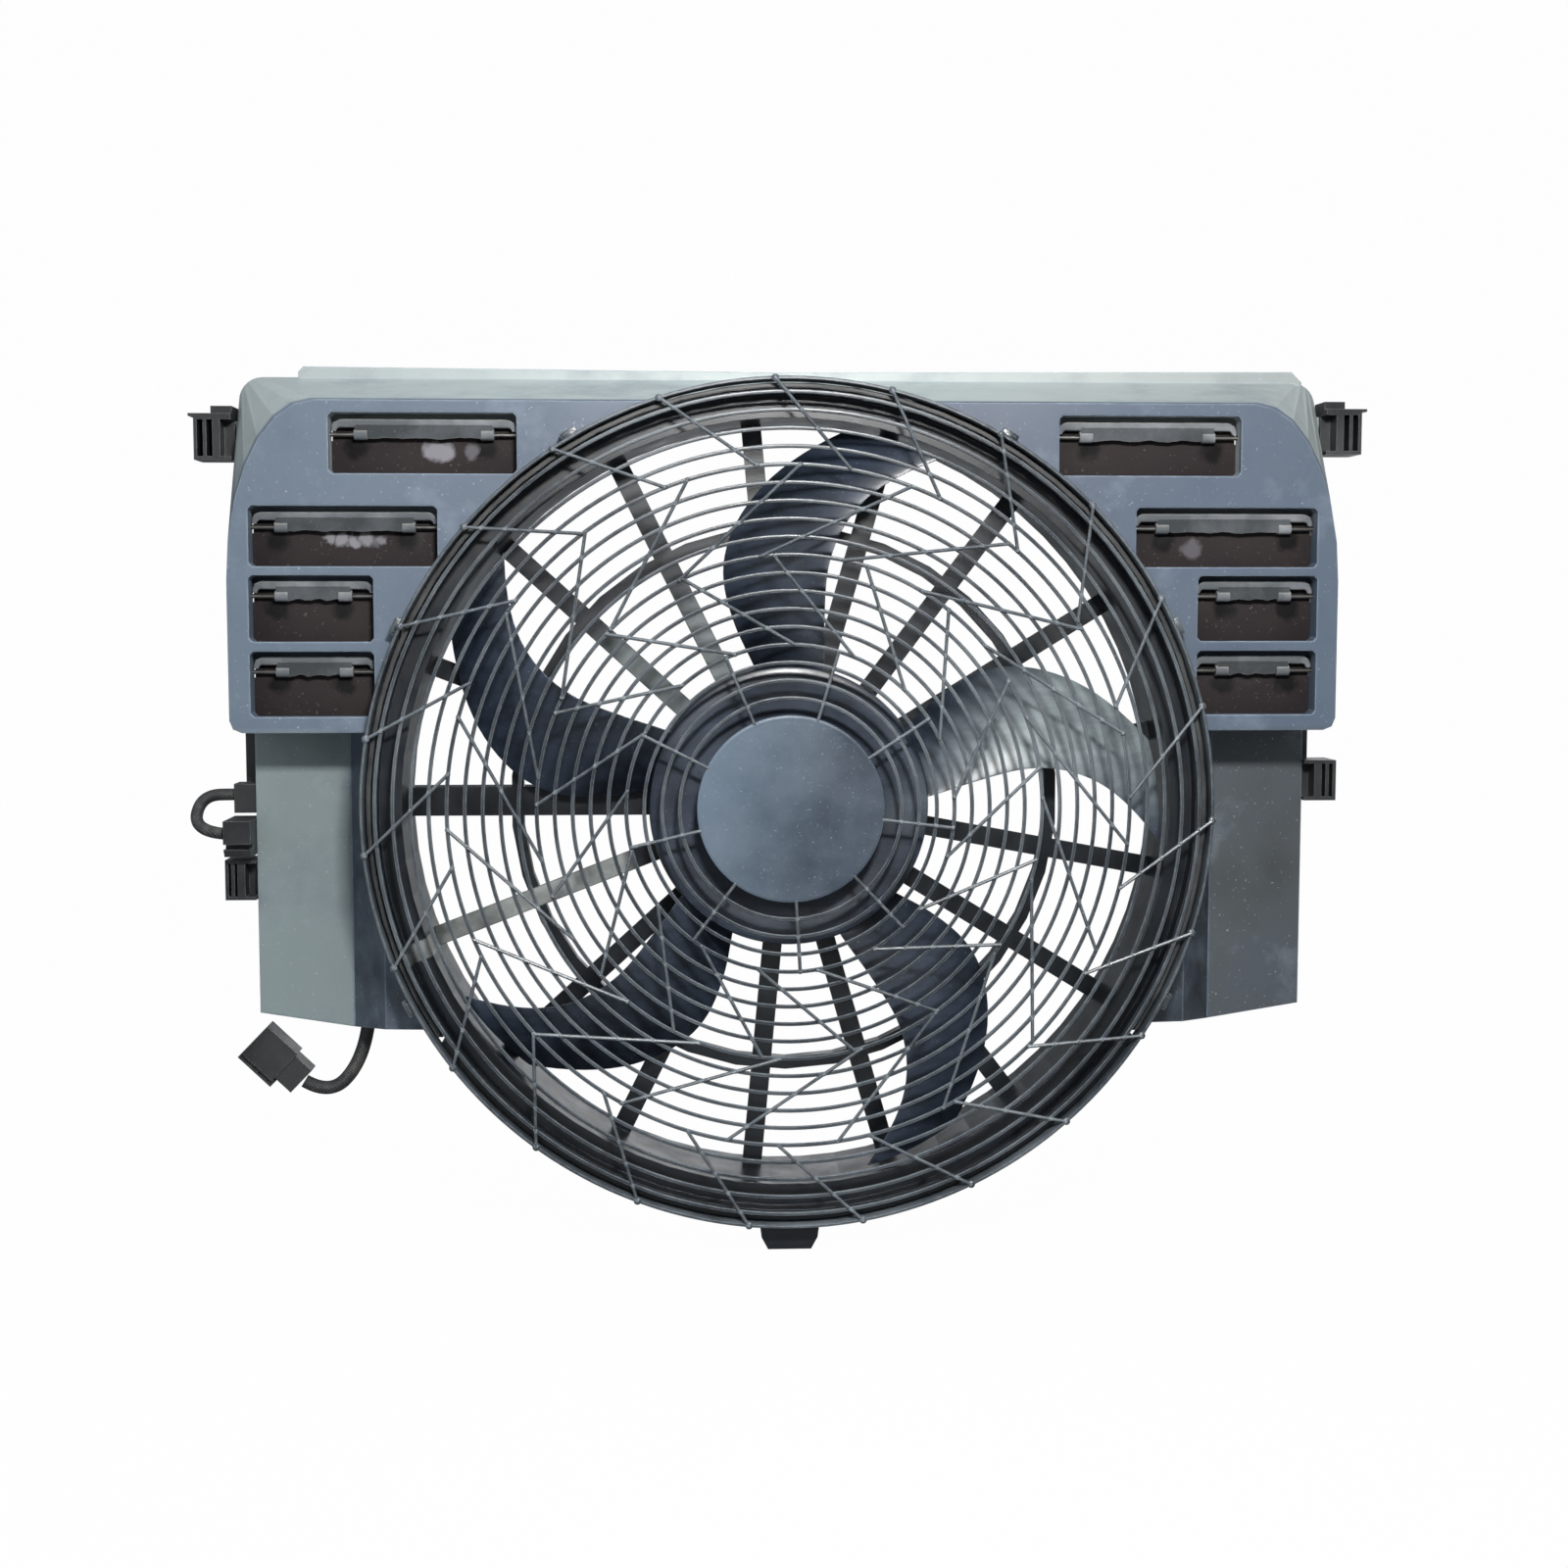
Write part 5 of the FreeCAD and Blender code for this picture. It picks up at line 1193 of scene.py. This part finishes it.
# %% [markdown]
# The studio's sweep.
# A pale seamless sweep runs under and behind the fan. It is plain white to the camera, as in a catalogue
# picture, and only pale to every other ray: a floor that is truly white would light the fan from below and
# wash it out.

# %% Sweep
FLOOR_Z = cad_box[0][2] - 0.5 * MM
SWEEP_FRONT, SWEEP_BEND, SWEEP_RADIUS, SWEEP_TOP, SWEEP_HALF = -3.0, 1.2, 0.8, 3.5, 4.0
SWEEP_STEPS = 12


def sweep_finish():
    """Plain white to the camera, and a mottled pale grey to other rays."""
    n = Nodes("sweep_white")
    pale = n.add("ShaderNodeBsdfDiffuse")
    n.put(n.mix(n.span(n.noise(3.0), 0.3, 0.7), linear("#8f9091"), linear("#999a9b")), pale.inputs["Color"])
    glow = n.add("ShaderNodeEmission")
    glow.inputs["Color"].default_value = (1.0, 1.0, 1.0, 1.0)
    glow.inputs["Strength"].default_value = 1.0
    ray = n.add("ShaderNodeLightPath")
    blend = n.add("ShaderNodeMixShader")
    n.put(n.times(ray.outputs["Is Camera Ray"], 0.985), blend.inputs["Fac"])
    n.put(pale.outputs["BSDF"], blend.inputs[1])
    n.put(glow.outputs["Emission"], blend.inputs[2])
    output = n.add("ShaderNodeOutputMaterial")
    n.put(blend.outputs["Shader"], output.inputs["Surface"])
    return n.material


def sweep():
    """A floor that bends up into a wall."""
    profile = [(SWEEP_FRONT, FLOOR_Z), (SWEEP_BEND, FLOOR_Z)]
    for i in range(1, SWEEP_STEPS + 1):
        turn = math.radians(90.0 * i / SWEEP_STEPS)
        rise = SWEEP_RADIUS * (1.0 - math.cos(turn))
        profile.append((SWEEP_BEND + SWEEP_RADIUS * math.sin(turn), FLOOR_Z + rise))
    profile.append((SWEEP_BEND + SWEEP_RADIUS, SWEEP_TOP))
    verts = [(x, y, z) for y, z in profile for x in (-SWEEP_HALF, SWEEP_HALF)]
    faces = [(2 * i, 2 * i + 1, 2 * i + 3, 2 * i + 2) for i in range(len(profile) - 1)]
    mesh = bpy.data.meshes.new("studio_sweep")
    mesh.from_pydata(verts, [], faces)
    mesh.shade_smooth()
    obj = bpy.data.objects.new("studio_sweep", mesh)
    bpy.context.scene.collection.objects.link(obj)
    give(obj, sweep_finish())


sweep()
print("floor at", round(FLOOR_Z, 4))

# %% [markdown]
# The lamps.
# One small near lamp above the middle draws the soft shadows of the rings on the blades and those of the
# flaps' knuckles. A wide one from above and two at the sides fill in, and a weak one behind keeps the rear
# from going black. No lamp is seen itself.

# %% Lamps


def lamp(name, place, aim, size_x, size_y, power, colour=(1.0, 1.0, 1.0)):
    """A rectangular lamp that looks at a point."""
    data = bpy.data.lights.new(name, "AREA")
    data.shape = "RECTANGLE"
    data.size = size_x
    data.size_y = size_y
    data.energy = power
    data.color = colour
    obj = bpy.data.objects.new(name, data)
    obj.location = place
    obj.rotation_euler = (Vector(aim) - Vector(place)).to_track_quat("-Z", "Y").to_euler()
    obj.visible_camera = False
    bpy.context.scene.collection.objects.link(obj)


lamp("lamp_key", (0.06, -1.0, 0.52), (0.0, -0.05, 0.0), 0.15, 0.09, 15.0, (1.0, 0.99, 0.97))
lamp("lamp_top", (0.0, -0.5, 1.7), (0.0, 0.0, 0.0), 1.8, 0.8, 14.0, (0.93, 0.97, 1.0))
lamp("lamp_left", (-1.5, -1.3, 0.4), (0.0, 0.0, 0.0), 0.8, 1.4, 6.0, (0.92, 0.96, 1.0))
lamp("lamp_right", (1.5, -1.1, 0.5), (0.1, 0.0, 0.0), 0.5, 1.2, 3.0)
lamp("lamp_back", (0.5, 1.7, 0.25), (0.0, 0.0, 0.0), 1.2, 0.8, 5.0, (0.96, 0.98, 1.0))
print("lamps", len(bpy.data.lights))

# %% [markdown]
# The sky.
# Out of doors a plastic part is lit mostly by the sky. This one is bright above and dim at the sides and
# below, which darkens what faces down and lets the sloping top shine. The camera itself sees plain white
# instead.

# %% Sky
SKY_STRENGTH = 0.62
SKY_TINT = (0.86, 0.94, 1.0)
# Stops from straight below to straight above: position and light
SKY_STOPS = [(0.0, 0.10), (0.48, 0.16), (0.62, 0.45), (0.85, 1.1), (1.0, 1.3)]


def sky_light(nodes, links):
    """The light that comes from each height."""
    place = nodes.new("ShaderNodeTexCoord")
    split = nodes.new("ShaderNodeSeparateXYZ")
    height = nodes.new("ShaderNodeMapRange")
    ramp = nodes.new("ShaderNodeValToRGB")
    links.new(place.outputs["Generated"], split.inputs["Vector"])
    links.new(split.outputs["Z"], height.inputs["Value"])
    height.inputs["From Min"].default_value = -1.0
    links.new(height.outputs["Result"], ramp.inputs["Fac"])
    elements = ramp.color_ramp.elements
    while len(elements) < len(SKY_STOPS):
        elements.new(0.5)
    for element, (position, light) in zip(elements, SKY_STOPS):
        element.position = position
        element.color = [share * light for share in SKY_TINT] + [1.0]
    return ramp.outputs["Color"]


def sky():
    """The graded sky for all rays but the camera's."""
    world = bpy.data.worlds.new("studio")
    world.use_nodes = True
    nodes, links = world.node_tree.nodes, world.node_tree.links
    graded = nodes["Background"]
    links.new(sky_light(nodes, links), graded.inputs["Color"])
    graded.inputs["Strength"].default_value = SKY_STRENGTH
    seen = nodes.new("ShaderNodeBackground")
    seen.inputs["Color"].default_value = (1.0, 1.0, 1.0, 1.0)
    ray = nodes.new("ShaderNodeLightPath")
    blend = nodes.new("ShaderNodeMixShader")
    links.new(ray.outputs["Is Camera Ray"], blend.inputs["Fac"])
    links.new(graded.outputs["Background"], blend.inputs[1])
    links.new(seen.outputs["Background"], blend.inputs[2])
    links.new(blend.outputs["Shader"], nodes["World Output"].inputs["Surface"])
    bpy.context.scene.world = world


sky()
bpy.context.scene.view_settings.view_transform = "Standard"
print("sky stops", len(SKY_STOPS))

# %% [markdown]
# Closing.
# Both boxes are written down, so that the visual model can be compared with the frame, and the table is
